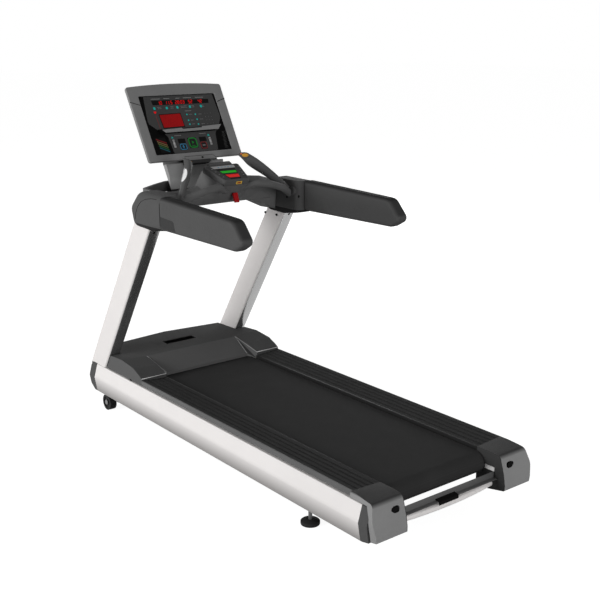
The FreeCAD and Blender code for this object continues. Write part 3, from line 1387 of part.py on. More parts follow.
def under_pod(dy):
    """Height of the small console's underside, less a clearance, above the top of the uprights."""
    return f"pod_lift - pod_thickness / cos(pod_tilt) - seat + (({dy}) + pod_back) * tan(pod_tilt)"


# Dashboard cross-sections from the middle outwards. Each row: x, then front top, front bottom,
# rear bottom, rear top and shelf top as Y and Z from the top of the uprights.
DASHBOARD = [
    ("0", (308, 168), (286, 90), (-42, 99), (-92, under_pod(-92)), (56, under_pod(56))),
    ("pod_rear_half + 6", (302, 168), (286, 88), (-4, 82), (-90, under_pod(-90)), (56, under_pod(56))),
    ("pod_front_half + 11", (297, 162), (280, 84), (31, 78), (11, 140), (60, 160)),
    ("mast_half", (290, 162), (266, 80), (54, 74), (40, 132), (66, 145)),
    ("foot_inner - 24", (236, 162), (206, 50), (66, 55), (54, 112), (64, 140)),
    ("shoulder_inner - seat", (184, 158), (176, 5), (56, 10), (48, 110), (56, 152)),
]


def make_dashboard(steel_way, tube_way, bar_way, key_peg):
    """The lofted tray housing; the mast stands in a pocket in its floor."""
    rows = [(f"-({x})", *points) for x, *points in reversed(DASHBOARD[1:])] + DASHBOARD
    sections = [section(f"dash_section_{i}", x, [head(y, z) for y, z in points])
                for i, (x, *points) in enumerate(rows)]
    block = loft("dashboard_block", sections)
    basin = []
    for i, (x, front_top, _, _, _, shelf) in enumerate(rows):
        inset = " * 0.96" if i in (0, len(rows) - 1) else ""
        basin.append(section(f"basin_section_{i}", f"({x}){inset}", [
            head(f"{front_top[0]} - basin_rim", "basin_floor"),
            head(f"{front_top[0]} - basin_rim", "shoulder_top * 2"),
            head(f"{shelf[0]} + 2 * basin_rim", "shoulder_top * 2"),
            head(f"{shelf[0]} + 2 * basin_rim", "basin_floor")]))
    hollow = loft("dashboard_basin", basin)
    pocket = monitor_place(prism("mast_pocket", "y", ("-(mast_foot) - seat", "20"), mast_plan("seat")))
    node(cut("dashboard", block, hollow, steel_way, tube_way, bar_way, key_peg, pocket))


# ---------------------------------------------------------------- handlebar and grips

# The handlebar's bends on the right-hand side: x, and Y and Z from the top of the uprights.
HANDLEBAR = [("shoulder_inner * 1.06", -46, 91), ("shoulder_inner * 0.79", -96, 138),
             ("shoulder_inner * 0.55", -107, 163), ("shoulder_inner * 0.31", -96, 174),
             ("shoulder_inner * 0.13", -52, 148)]
# The right grip's axis from its foot to its tip, and the share of its full section there.
GRIP = [("shoulder_inner * 0.9", -82, 124, 0.72), ("shoulder_inner * 0.75", -36, 184, 0.86),
        ("shoulder_inner * 0.625", 2, 226, 1.0), ("shoulder_inner * 0.545", 32, 252, 1.03),
        ("shoulder_inner * 0.48", 70, 283, 1.0)]
# The way that the right grip's end face points.
GRIP_FACE = Vector(-0.48, -0.08, 0.87).normalize()


def head_point(x, dy, dz):
    return Vector(num(x), num(f"head_y + ({dy})"), num(f"head_height + ({dz})"))


def bent_path(points, bend):
    """Straight runs joined by tangent arcs of radius bend."""
    edges, start = [], points[0]
    for before, corner, after in zip(points, points[1:], points[2:]):
        back, on = (before - corner).normalize(), (after - corner).normalize()
        half = back.getAngle(on) / 2
        trim = bend / math.tan(half)
        middle = corner + (back + on).normalize() * (bend / math.sin(half) - bend)
        edges.append(Part.LineSegment(start, corner + back * trim).toShape())
        edges.append(Part.Arc(corner + back * trim, middle, corner + on * trim).toShape())
        start = corner + on * trim
    edges.append(Part.LineSegment(start, points[-1]).toShape())
    return Part.Wire(edges)


def pipe(points, bend, radius):
    path = bent_path(points, bend)
    start = (points[1] - points[0]).normalize()
    ring = Part.Wire(Part.Circle(points[0], start, radius).toShape())
    return path.makePipeShell([ring], True, False)


def oval_on(point, ahead, half_width, half_depth):
    """An oval wire square to ahead, its long axis in the plane of travel."""
    across = ahead.cross(Vector(1, 0, 0)).normalize()
    edge = Part.Ellipse(Vector(0, 0, 0), half_width, half_depth).toShape()
    edge.Placement = FreeCAD.Placement(point, Rotation(across, ahead.cross(across), ahead, "ZXY"))
    return Part.Wire(edge)


def grip_form(grow):
    """Oval sections up the grip's axis to its slanted end face, grown by a skin's thickness."""
    points = [head_point(x, dy, dz) for x, dy, dz, _ in GRIP]
    rings = []
    for i, (_, _, _, share) in enumerate(GRIP[:-1]):
        ahead = (points[i + 1] - points[max(i - 1, 0)]).normalize()
        rings.append(oval_on(points[i], ahead, num("grip_half_width") * share + grow,
                             num("grip_half_depth") * share + grow))
    rings.append(oval_on(points[-1], GRIP_FACE, num("grip_head_half") + grow, num("grip_head_depth") + grow))
    return Part.makeLoft(rings, True, False)


def make_handlebar():
    right = [head_point(*bend) for bend in HANDLEBAR]
    left = [Vector(-p.x, p.y, p.z) for p in right]
    points = right + left[::-1]
    bend = num("handlebar_bend")
    between = box("shoulder_span", ("-(shoulder_inner) + seat", "shoulder_inner - seat"),
                  ("head_y - 300", "head_y + 300"), ("head_height - 100", "head_height + 300"))
    node(common("handlebar", shaped("handlebar_pipe", pipe(points, bend, num("handlebar_radius"))), between))
    way = shaped("handlebar_way", pipe(points, bend, num("handlebar_radius + seat")))

    body = cut("grip_body", shaped("grip_form", grip_form(0)), way)
    lower, upper = head_point(*GRIP[1][:3]), head_point(*GRIP[-1][:3])
    middle = (lower + upper) * 0.5
    slope = math.degrees(math.atan2(upper.z - lower.z, upper.y - lower.y))
    reach = (upper - lower).Length
    plate = Part.Ellipse(Vector(0, 0, 0), reach * 0.25, num("grip_half_depth") * 0.8)
    stamp = Part.Face(Part.Wire(plate.toShape())).extrude(Vector(0, 0, 60))
    stamp = stamp.cut(Part.makeBox(1.5, 80, 80, Vector(-0.75, -40, -5)))
    stamp.Placement = FreeCAD.Placement(
        middle, Rotation(Vector(0, math.cos(math.radians(slope)), math.sin(math.radians(slope))),
                         Vector(0, -math.sin(math.radians(slope)), math.cos(math.radians(slope))),
                         Vector(1, 0, 0), "ZXY"))
    skin = common("sensor_skin", shaped("grip_skin", grip_form(num("sensor_thickness"))),
                  shaped("sensor_stamp", stamp))
    sensors = cut("sensor_pair", skin, shaped("grip_skin_core", grip_form(num("seat / 3"))))
    key_form = grip_button(0)
    well = shaped("grip_button_well", grip_button(1))
    right_grip = node(cut("grip_right", body, well))
    node(mirror("grip_left", right_grip))
    node(pair("sensor_plates", sensors))
    right_key = node(shaped("grip_rocker_right", key_form))
    node(mirror("grip_rocker_left", right_key))
    return way


def grip_button(well):
    """The oval key in the grip's end face, or the well it moves in."""
    gap = num("seat") if well else 0
    depth = num("key_depth") + (num("key_travel") + num("seat") if well else 0)
    out = 10 if well else num("key_proud")
    back = GRIP_FACE.cross(Vector(-1, 0, 0)).normalize() * num("grip_key_back")
    start = head_point(*GRIP[-1][:3]) + back - GRIP_FACE * depth
    oval = oval_on(start, GRIP_FACE, num("grip_key_half") + gap, num("grip_key_depth") + gap)
    return Part.Face(oval).extrude(GRIP_FACE * (depth + out))


# ---------------------------------------------------------------- mast and monitor

def monitor_place(item):
    return tilt(item, "head_y + monitor_forward", "head_height + monitor_lift", "monitor_tilt")


def mast_plan(gap):
    """The mast seen from its top, narrower to the back, grown by a gap."""
    wide = f"(mast_half + mast_flare + 1 + {gap})"
    narrow = f"(mast_half + mast_flare - mast_taper + {gap})"
    back = f"-(mast_back) - 1 - {gap}"
    bend = "-(bezel_depth) - 30"
    return [(wide, "0"), (wide, bend), (narrow, back), (f"-{narrow}", back), (f"-{wide}", bend), (f"-{wide}", "0")]


def make_mast(tube_way):
    back = "-(bezel_depth + back_depth)"
    side_view = [("-mast_foot", "-mast_back"), ("mast_hub * 0.8", "-mast_back", "30"),
                 ("mast_hub", f"{back} - seat"), ("-(seat)", f"{back} - seat"),
                 ("-(seat)", "-(bezel_depth) - 12", "8"),
                 ("-mast_foot * 0.55", "-(bezel_depth) - 34", "40"), ("-mast_foot", "-(bezel_depth) - 26")]
    front_view = [("mast_half + mast_flare", "-mast_foot"), ("mast_half", "-mast_foot * 0.5", "60"),
                  ("mast_half + mast_flare * 0.7", "-(seat)", "12"),
                  ("mast_half * 0.7", "mast_hub * 0.6", "30"),
                  ("mast_half * 0.6", "mast_hub + 2")]
    front_view += [(f"-({x})", *rest) for x, *rest in reversed(front_view)]
    form = common("mast_form", prism("mast_side", "x", ("-(mast_half) - 40", "mast_half + 40"), side_view),
                  prism("mast_front", "z", ("-(mast_back) - 10", "0"), front_view),
                  prism("mast_plan", "y", ("-(mast_foot) - 1", "mast_hub + 5"), mast_plan("0")))
    bore = box("mast_bore", ("-(mast_tube_half) - slack", "mast_tube_half + slack"),
               ("-(mast_foot) - 5", "mast_hub - 8 + slack"),
               (f"{back} - seat - mast_tube_depth - slack", f"{back} + 2"))
    node(monitor_place(cut("mast_cover", form, bore)))


def monitor_outline(shift):
    """The monitor's outline, moved in by shift, with a slightly crowned top."""
    low, high, top = f"(monitor_half - monitor_taper - ({shift}))", f"(monitor_half - ({shift}))", f"({shift})"
    return [(f"-{low}", shift, "monitor_corner"), (low, shift, "monitor_corner"),
            (high, f"monitor_height - {top}", "monitor_corner"),
            ("0", f"monitor_height + monitor_crown - {top}",
             f"monitor_crown_radius * (1 - {top} / (monitor_half / 2))"),
            (f"-{high}", f"monitor_height - {top}", "monitor_corner")]


def window_outline(shift="0"):
    corners = [(1, "window_top"), (-1, "window_top"), (-1, "window_bottom"), (1, "window_bottom")]
    return [(f"{side} * (window_half + {shift})",
             f"{level} + {shift}" if level == "window_top" else f"{level} - ({shift})", "window_corner")
            for side, level in corners]


def key_block(name, across, up, width, height, low, high, side_gap="0", end_gap="0"):
    return slab(name, (f"{across} - {width} / 2 - {side_gap}", f"{across} + {width} / 2 + {side_gap}"),
                (f"{up} - {height} / 2 - {end_gap}", f"{up} + {height} / 2 + {end_gap}"), (low, high))


KEYS = {
    "start_button": ("start_across", "start_up", "start_width", "start_height", "seat"),
    "stop_button": ("stop_across", "stop_up", "stop_width", "stop_height", "seat"),
    "enter_button": ("-(enter_across)", "enter_up", "enter_width", "enter_height", "seat"),
    "incline_rocker": ("-(rocker_across)", "rocker_up", "rocker_width", "rocker_height", "rocker_gap"),
    "speed_rocker": ("rocker_across + 8", "rocker_up", "rocker_width", "rocker_height", "rocker_gap"),
}


def make_monitor():
    back = "-(bezel_depth + back_depth)"
    shell = cut("monitor_shell",
                loft("monitor_back_block", [
                    level("back_outline", back, monitor_outline("2 + back_taper")),
                    level("front_outline", "-(bezel_depth)", monitor_outline("2"))]),
                loft("monitor_back_hollow", [
                    level("back_hollow", f"{back} + shell_wall",
                          monitor_outline("2 + back_taper + shell_wall")),
                    level("front_hollow", "-(bezel_depth) + 1", monitor_outline("2 + shell_wall"))]))
    foot = prism("monitor_foot", "z", ("-(bezel_depth) - 10", "-2"),
                 [("-76", "-22", "8"), ("76", "-22", "8"), ("66", "2 - seat"), ("-66", "2 - seat")])
    root = slab("monitor_foot_root", ("-66", "66"), ("0", "8"), ("-(bezel_depth) - 10", "-(bezel_depth)"))
    node(monitor_place(fuse("monitor_back", shell, foot, root)))
    frame = prism("bezel_frame", "z", ("-(bezel_depth) + seat", "0"), monitor_outline("0"), window_outline())

    def front_rim(edge):
        low, high = edge.BoundBox.ZMin, edge.BoundBox.ZMax
        return abs(low) < 0.01 and abs(high) < 0.01
    soften(frame, "shell_wall", front_rim)
    foot_way = box("bezel_foot_way", ("-80", "80"), ("-30", "2"), ("-(bezel_depth) - 1", "1"))
    node(monitor_place(cut("monitor_bezel", frame, foot_way)))

    panel = prism("display_plate", "z", ("display_back", "display_face"), window_outline("-(seat)"))
    ledge = prism("display_ledge", "z", ("display_face - 1", "display_face + ledge_depth"),
                  [("-(ledge_half) + 20", "ledge_bottom"), ("ledge_half - 20", "ledge_bottom"),
                   ("ledge_half", "ledge_top"), ("-(ledge_half)", "ledge_top")])
    wells = [key_block(f"{name}_well", across, up, width, height, "display_back - 1", "display_face + 1",
                       "seat", end_gap) for name, (across, up, width, height, end_gap) in KEYS.items()]
    recesses = [key_block(f"recess_{i}", f"{side} * recess_across + 4", "recess_up", "recess_width",
                          "recess_height", "display_back + 1", "display_face + 1")
                for i, side in enumerate((1, -1))]
    node(monitor_place(cut("display_panel", fuse("display_block", panel, ledge), *wells, *recesses)))
    for name, (across, up, width, height, _) in KEYS.items():
        node(monitor_place(key_block(name, across, up, width, height, "display_face - key_depth",
                                     "display_face + key_proud")))


# ---------------------------------------------------------------- small console and safety key

def make_pod(bar_way):
    def place(item):
        return tilt(item, "pod_y", "pod_z", "pod_tilt")
    outline_ = [("-(pod_rear_half)", "0", "pod_corner"), ("pod_rear_half", "0", "pod_corner"),
                ("pod_front_half", "pod_length", "pod_corner"),
                ("-(pod_front_half)", "pod_length", "pod_corner")]
    block = prism("pod_block", "z", ("-(pod_thickness)", "0"), outline_)

    def top_rim(edge):
        return abs(edge.BoundBox.ZMin) < 0.01 and abs(edge.BoundBox.ZMax) < 0.01
    soften(block, "pod_corner / 3", top_rim)
    lip = box("pod_lip", ("-(lip_half)", "lip_half"), ("pod_length - 2", "pod_length + lip_length"),
              ("-(pod_thickness) * 0.7", "3"))
    margin = "keypad_margin"
    pad_outline = [(f"-(pod_rear_half) + {margin}", margin, "5"), (f"pod_rear_half - {margin}", margin, "5"),
                   (f"pod_front_half - {margin}", f"pod_length - {margin}", "5"),
                   (f"-(pod_front_half) + {margin}", f"pod_length - {margin}", "5")]
    bed = prism("keypad_bed", "z", ("-(keypad_depth)", "1"), pad_outline)
    pod = place(cut("pod_case", fuse("pod_set", block, lip), bed))
    node(cut("console_body", pod, bar_way))
    sheet_form = prism("keypad_sheet", "z", ("-(keypad_depth)", "0"), pad_outline)
    keys = []
    for i in range(4):
        up = f"(pod_length * (0.24 + 0.17 * {i}))"
        out = f"(pod_rear_half - 9 + (pod_front_half - pod_rear_half) * {up} / pod_length - keypad_key / 2)"
        for side in (1, -1):
            keys.append(key_block(f"keypad_key_{len(keys)}", f"{side} * {out}", up, "keypad_key",
                                  "keypad_key * 0.7", "-(keypad_depth) / 2", "0.8"))
    node(place(fuse("console_keypad", sheet_form, *keys)))


def make_safety_key():
    """A tag that hangs from its peg with its lower end towards the runner."""
    z = "head_height + safety_drop"
    face, top = "head_y - 70", f"{z} + safety_above_peg"
    swing = "safety_height * tan(safety_lean)"
    tag = prism("safety_tag", "x", ("-(safety_half)", "safety_half"), [
        (f"{face} - safety_depth", top), (face, top), (f"{face} - {swing}", f"{top} - safety_height"),
        (f"{face} - {swing} - safety_depth", f"{top} - safety_height")])
    peg = rod("safety_pin", "y", "safety_peg", ("0", z),
              (f"{face} - safety_depth / 2", f"{face} + safety_peg_length"))
    node(fuse("safety_key", tag, peg))
    return rod("safety_peg_way", "y", "safety_peg + fit", ("0", z),
               (f"{face} - 30", f"{face} + safety_peg_length + 2"))


# ---------------------------------------------------------------- build, check and write

make_frame()
make_running_surface()
make_rollers()
make_foot_rails()
make_side_panels()
make_rear_caps()
make_end_plates()
make_rear_rail()
make_hood()
make_front_cover()
make_drive()
make_lift()
make_levelers()
make_fasteners(make_uprights())
steel_way, tube_way = make_console_frame()
make_shoulders(steel_way)
make_arms(steel_way)
bar_way = make_handlebar()
make_dashboard(steel_way, tube_way, bar_way, make_safety_key())
make_mast(tube_way)
make_monitor()
make_pod(bar_way)
doc.recompute()

faults = [item.Name for item in doc.Objects if {"Invalid", "Error"} & set(item.State)]
faults += [item.Name for item in NODES if item.Shape.isNull() or not item.Shape.isValid()]
if faults:
    raise RuntimeError("these pieces failed: " + ", ".join(faults))
os.makedirs("parts", exist_ok=True)
for item in NODES:
    item.Shape.exportStep(f"parts/{item.Label}.step")
print(len(NODES), "pieces written")
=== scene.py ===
"""Finishes, displays and fittings of a gym treadmill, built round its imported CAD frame.

Frame: metres, +X to the runner's right, +Y forward to the console, +Z up, origin on the floor.
"""
from __future__ import annotations
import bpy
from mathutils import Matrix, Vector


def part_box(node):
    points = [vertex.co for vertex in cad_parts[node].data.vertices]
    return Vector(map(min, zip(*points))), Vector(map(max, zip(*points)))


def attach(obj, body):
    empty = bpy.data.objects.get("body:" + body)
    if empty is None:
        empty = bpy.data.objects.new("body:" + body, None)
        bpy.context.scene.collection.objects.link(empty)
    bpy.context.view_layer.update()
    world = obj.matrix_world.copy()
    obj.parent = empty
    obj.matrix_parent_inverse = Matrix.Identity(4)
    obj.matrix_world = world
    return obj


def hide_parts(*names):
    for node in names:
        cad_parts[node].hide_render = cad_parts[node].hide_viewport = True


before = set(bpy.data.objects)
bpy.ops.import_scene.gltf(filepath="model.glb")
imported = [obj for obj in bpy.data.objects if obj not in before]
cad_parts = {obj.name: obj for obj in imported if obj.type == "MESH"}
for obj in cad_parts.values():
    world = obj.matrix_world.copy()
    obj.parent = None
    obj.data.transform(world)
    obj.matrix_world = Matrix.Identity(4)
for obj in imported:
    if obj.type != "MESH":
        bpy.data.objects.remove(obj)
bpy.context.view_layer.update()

import logging
import math
from dataclasses import dataclass, field
from enum import Enum
from typing import Iterator, Protocol, Sequence

import bmesh
import bpy
from mathutils import Matrix, Vector

LOG = logging.getLogger("treadmill")
MM = 0.001
SIDES = ((1, "right"), (-1, "left"))
Point2 = tuple[float, float]
Point3 = tuple[float, float, float]
Color = tuple[float, float, float]
Socket = bpy.types.NodeSocket
WHITE = (1.0, 1.0, 1.0, 1.0)


# ---------------------------------------------------------------- finishes

class Surface(Enum):
    """How a finish is textured: the kind of detail its nodes draw."""

    GRAIN = "moulded grain"
    FOAM = "soft foam skin"
    PAINT = "sprayed paint"
    BRUSHED = "brushed metal"
    WEAVE = "woven belt"
    FILM = "printed film"
    BOARD = "wood board"
    LAMP = "lit segment"

    @property
    def matt(self) -> bool:
        """Whether the surface throws back little of its surroundings."""
        return self in (Surface.FILM, Surface.WEAVE, Surface.GRAIN, Surface.FOAM)

    @property
    def stretch(self) -> Point3:
        """How the texture is drawn out along each axis."""
        return {Surface.BRUSHED: (0.04, 1.0, 1.0), Surface.BOARD: (1.0, 0.08, 1.0)}.get(self, (1.0, 1.0, 1.0))


class Mask(Protocol):
    """A rule that picks out part of a surface."""

    def mask(self, painter: NodePainter, vector: Socket) -> Socket:
        """Return the share of the second colour at each point.

        Args:
            painter: What adds the nodes.
            vector: The point's place in the machine's frame.

        Returns:
            1 in the part that the rule picks out, and 0 outside it.
        """


@dataclass(frozen=True)
class MiddleBand:
    """The part of a surface that lies within a reach of the machine's middle plane.

    Only what lies behind the end counts, and the reach grows by the flare on the way to it.
    """

    reach: float
    end: float = 10.0
    flare: float = 0.0

    def mask(self, painter: NodePainter, vector: Socket) -> Socket:
        """Return 1 inside the band and 0 outside it.

        Args:
            painter: What adds the nodes.
            vector: The point's place in the machine's frame.

        Returns:
            The share of the second colour.
        """
        place = painter.split(vector)
        short = painter.math("SUBTRACT", place["Y"], self.end)
        drift = painter.math("MULTIPLY", short, self.flare)
        aside = painter.math("SUBTRACT", painter.math("ABSOLUTE", place["X"]), drift)
        behind = painter.math("LESS_THAN", short, 0.0)
        return painter.math("MULTIPLY", painter.math("LESS_THAN", aside, self.reach), behind)


@dataclass(frozen=True)
class HeightFade:
    """The part of a surface under a height, fading in over the run down to a lower one."""

    low: float
    high: float

    def mask(self, painter: NodePainter, vector: Socket) -> Socket:
        """Return 1 at the low height and under it, and 0 over the high one."""
        return painter.fade(painter.split(vector)["Z"], self.high, self.low)


@dataclass(frozen=True)
class UpperSide:
    """The part of a surface that faces upward, fading in as it turns up."""

    start: float
    full: float

    def mask(self, painter: NodePainter, vector: Socket) -> Socket:
        """Return 1 where the surface lies nearly level and 0 on its sides; the vector isn't used."""
        return painter.fade(painter.facing()["Z"], self.start, self.full)


@dataclass(frozen=True)
class OuterFace:
    """The part of a surface that faces left or right, fading in as it turns outward."""

    start: float = 0.5
    full: float = 0.9

    def mask(self, painter: NodePainter, vector: Socket) -> Socket:
        """Return 1 where the surface faces sideways and 0 elsewhere; the vector isn't used."""
        return painter.fade(painter.math("ABSOLUTE", painter.facing()["X"]), self.start, self.full)


@dataclass(frozen=True)
class OvalPatch:
    """A long oval patch on both sides of the machine.

    The centre is given for the right side, in metres; reach is half the patch's length along its
    axis and width is half its width.
    """

    centre: Point3
    axis: Point3
    reach: float
    width: float

    def mask(self, painter: NodePainter, vector: Socket) -> Socket:
        """Return 1 inside the patch and 0 outside it.

        Args:
            painter: What adds the nodes.
            vector: The point's place in the machine's frame.

        Returns:
            The share of the second colour.
        """
        place = painter.split(vector)
        folded = painter.add("ShaderNodeCombineXYZ")
        painter.wire(painter.math("ABSOLUTE", place["X"]), folded.inputs["X"])
        painter.wire(place["Y"], folded.inputs["Y"])
        painter.wire(place["Z"], folded.inputs["Z"])
        away = painter.vector_math("SUBTRACT", folded.outputs["Vector"], self.centre).outputs["Vector"]
        axis = tuple(Vector(self.axis).normalized())
        along = painter.vector_math("DOT_PRODUCT", away, axis).outputs["Value"]
        whole = painter.vector_math("DOT_PRODUCT", away, away).outputs["Value"]
        run = painter.math("MULTIPLY", along, along)
        ends = painter.math("MULTIPLY", run, 1.0 / self.reach ** 2)
        sides = painter.math("MULTIPLY", painter.math("SUBTRACT", whole, run), 1.0 / self.width ** 2)
        return painter.math("LESS_THAN", painter.math("ADD", ends, sides), 1.0)


@dataclass(frozen=True)
class Finish:
    """One material of the treadmill.

    The colour is linear, scale is the number of fine features in a metre, bump is their depth in
    metres and variation is the share by which the colour drifts over the surface. The second
    colour shows inside the masks.
    """

    name: str
    slot: str
    color: Color
    surface: Surface = Surface.GRAIN
    roughness: float = 0.5
    metallic: float = 0.0
    scale: float = 700.0
    bump: float = 0.0002
    variation: float = 0.1
    shine: float = 0.22
    glow: float = 0.0
    second: Color | None = None
    masks: tuple[Mask, ...] = ()

    def material(self) -> bpy.types.Material:
        """Return the finish's material, building it the first time.

        Returns:
            The node material named after the finish.
        """
        found = bpy.data.materials.get(self.name)
        if found is not None:
            return found
        made = bpy.data.materials.new(self.name)
        made.use_nodes = True
        made.diffuse_color = (*self.color, 1.0)
        NodePainter(made.node_tree, self).paint()
        return made


@dataclass
class NodePainter:
    """Draws a finish's nodes into a material's node tree."""

    tree: bpy.types.NodeTree
    finish: Finish
    matt_ior: float = 1.18
    ramp_ends: Point2 = (0.3, 0.7)
    broad_scale: float = 7.0
    broad_share: float = 0.6
    fine_share: float = 0.4
    roughness_drift: float = 0.07
    least_roughness: float = 0.04

    def add(self, kind: str, **values: object) -> bpy.types.Node:
        """Add a node and set its attributes and inputs.

        Args:
            kind: The node's type name.
            values: Attribute names, or input names with _ for a space, and their values.

        Returns:
            The new node.
        """
        made = self.tree.nodes.new(kind)
        for key, value in values.items():
            socket = made.inputs.get(key.replace("_", " "))
            if socket is not None:
                socket.default_value = value
            else:
                setattr(made, key, value)
        return made

    def wire(self, source: Socket, target: Socket) -> None:
        """Join two sockets."""
        self.tree.links.new(source, target)

    def split(self, vector: Socket) -> bpy.types.NodeOutputs:
        """Return a vector's X, Y and Z.

        Args:
            vector: The vector.

        Returns:
            The outputs that hold its three parts.
        """
        parts = self.add("ShaderNodeSeparateXYZ")
        self.wire(vector, parts.inputs["Vector"])
        return parts.outputs

    def facing(self) -> bpy.types.NodeOutputs:
        """Return the X, Y and Z of the way that the surface faces."""
        return self.split(self.add("ShaderNodeNewGeometry").outputs["Normal"])

    def fade(self, value: Socket, start: float, full: float) -> Socket:
        """Return 0 at one value, 1 at another and an even run between them.

        Args:
            value: What the fade follows.
            start: The value where it starts.
            full: The value where it is complete.

        Returns:
            The fade's share.
        """
        ramp = self.add("ShaderNodeMapRange", From_Min=start, From_Max=full)
        self.wire(value, ramp.inputs["Value"])
        return ramp.outputs["Result"]

    def math(self, operation: str, first: Socket, second: Socket | float = 0.0) -> Socket:
        """Return the result of a sum, product or comparison.

        Args:
            operation: The math node's operation.
            first: Its first value.
            second: Its second value, a socket or a number.

        Returns:
            The result.
        """
        made = self.add("ShaderNodeMath", operation=operation)
        self.wire(first, made.inputs[0])
        if isinstance(second, Socket):
            self.wire(second, made.inputs[1])
        else:
            made.inputs[1].default_value = second
        return made.outputs["Value"]

    def vector_math(self, operation: str, first: Socket, second: Socket | Point3) -> bpy.types.Node:
        """Add a vector math node.

        Args:
            operation: The node's operation.
            first: Its first vector.
            second: Its second vector, a socket or three numbers.

        Returns:
            The node.
        """
        made = self.add("ShaderNodeVectorMath", operation=operation)
        self.wire(first, made.inputs[0])
        if isinstance(second, Socket):
            self.wire(second, made.inputs[1])
        else:
            made.inputs[1].default_value = second
        return made

    def pattern(self, kind: str, vector: Socket, output: str, **values: object) -> Socket:
        """Return a texture node's value at each point.

        Args:
            kind: The texture node's type name.
            vector: The point.
            output: The output's name.
            values: The node's settings.

        Returns:
            The texture's value.
        """
        made = self.add(kind, **values)
        self.wire(vector, made.inputs["Vector"])
        return made.outputs[output]

    def noise(self, vector: Socket, scale: float, detail: float) -> Socket:
        """Return a noise value at each point, between 0 and 1."""
        return self.pattern("ShaderNodeTexNoise", vector, "Fac", Scale=scale, Detail=detail)

    def wave(self, vector: Socket, direction: str) -> Socket:
        """Return a sine wave along one axis, between 0 and 1."""
        return self.pattern("ShaderNodeTexWave", vector, "Fac", bands_direction=direction,
                            Scale=self.finish.scale)

    def cells(self, vector: Socket) -> Socket:
        """Return the distance to the nearest of scattered points."""
        return self.pattern("ShaderNodeTexVoronoi", vector, "Distance", Scale=self.finish.scale)

    def blend(self, share: Socket, low: Color, high: Color) -> Socket:
        """Return a colour that runs from one to another.

        Args:
            share: What the colour follows.
            low: The colour at a low share.
            high: The colour at a high share.

        Returns:
            The colour.
        """
        ramp = self.add("ShaderNodeValToRGB")
        for element, position, color in zip(ramp.color_ramp.elements, self.ramp_ends, (low, high)):
            element.position = position
            element.color = (*color, 1.0)
        self.wire(share, ramp.inputs["Fac"])
        return ramp.outputs["Color"]

    def second_tone(self, share: Socket, first: Socket) -> Socket:
        """Mix the finish's second colour over the first.

        Args:
            share: 1 where the second colour shows.
            first: The first colour.

        Returns:
            The mixed colour.
        """
        mix = self.add("ShaderNodeMix", data_type="RGBA")
        factor, under, over = mix.inputs[0], mix.inputs[6], mix.inputs[7]
        self.wire(share, factor)
        self.wire(first, under)
        over.default_value = (*self.finish.second, 1.0)
        return mix.outputs[2]

    def relief(self, vector: Socket) -> Socket:
        """Return the height of the finish's fine texture.

        Args:
            vector: The point, stretched for the surface.

        Returns:
            The height, between 0 and about 1.
        """
        style, scale = self.finish.surface, self.finish.scale
        if style is Surface.WEAVE:
            return self.math("MULTIPLY", self.wave(vector, "X"), self.wave(vector, "Y"))
        if style is Surface.FOAM:
            return self.math("ADD", self.cells(vector), self.noise(vector, scale / 6, 3.0))
        if style is Surface.GRAIN:
            return self.math("ADD", self.cells(vector), self.noise(vector, scale * 1.7, 2.0))
        return self.noise(vector, scale, 4.0)

    def coloured(self, share: Socket, place: Socket) -> Socket:
        """Return the finish's colour with its drift and its second tone.

        Args:
            share: What the drift follows.
            place: The point's place in the machine's frame.

        Returns:
            The colour.
        """
        finish = self.finish
        low = tuple(max(0.0, c * (1 - finish.variation)) for c in finish.color)
        high = tuple(min(1.0, c * (1 + finish.variation)) for c in finish.color)
        color = self.blend(share, low, high)
        for mask in finish.masks:
            color = self.second_tone(mask.mask(self, place), color)
        return color

    def paint(self) -> None:
        """Wire colour, roughness and relief into the shader."""
        finish = self.finish
        shader = self.tree.nodes["Principled BSDF"]
        shader.inputs["Metallic"].default_value = finish.metallic
        shader.inputs["Specular IOR Level"].default_value = finish.shine
        if finish.surface.matt:
            shader.inputs["IOR"].default_value = self.matt_ior
        place = self.add("ShaderNodeTexCoord").outputs["Object"]
        turned = self.add("ShaderNodeMapping", Scale=finish.surface.stretch)
        self.wire(place, turned.inputs["Vector"])
        vector = turned.outputs["Vector"]
        fine = self.relief(vector)
        broad = self.noise(vector, self.broad_scale, 3.0)
        share = self.math("ADD", self.math("MULTIPLY", broad, self.broad_share),
                          self.math("MULTIPLY", fine, self.fine_share))
        color = self.coloured(share, place)
        self.wire(color, shader.inputs["Base Color"])
        spread = self.add("ShaderNodeMapRange",
                          To_Min=max(self.least_roughness, finish.roughness - self.roughness_drift),
                          To_Max=min(1.0, finish.roughness + self.roughness_drift))
        self.wire(share, spread.inputs["Value"])
        self.wire(spread.outputs["Result"], shader.inputs["Roughness"])
        raised = self.add("ShaderNodeBump", Strength=1.0, Distance=finish.bump)
        self.wire(fine, raised.inputs["Height"])
        self.wire(raised.outputs["Normal"], shader.inputs["Normal"])
        if finish.glow:
            self.wire(color, shader.inputs["Emission Color"])
            shader.inputs["Emission Strength"].default_value = finish.glow


def grey(level: float, warmth: float = 0.0) -> Color:
    """Return a linear grey, a little cooler or warmer by warmth."""
    return (level * (1 + warmth), level, level * (1 - warmth))


def painted(name: str, slot: str, color: Color, roughness: float, metallic: float = 0.0,
            **values: object) -> Finish:
    """Return a smooth paint's finish with an even tone.

    Args:
        name: The material's name.
        slot: The material slot of the record.
        color: Its colour.
        roughness: Its roughness.
        metallic: Its share of metal.
        values: Its other values.

    Returns:
        The finish.
    """
    return Finish(name, slot, color, Surface.PAINT, roughness, metallic, scale=1500, variation=0.02, **values)


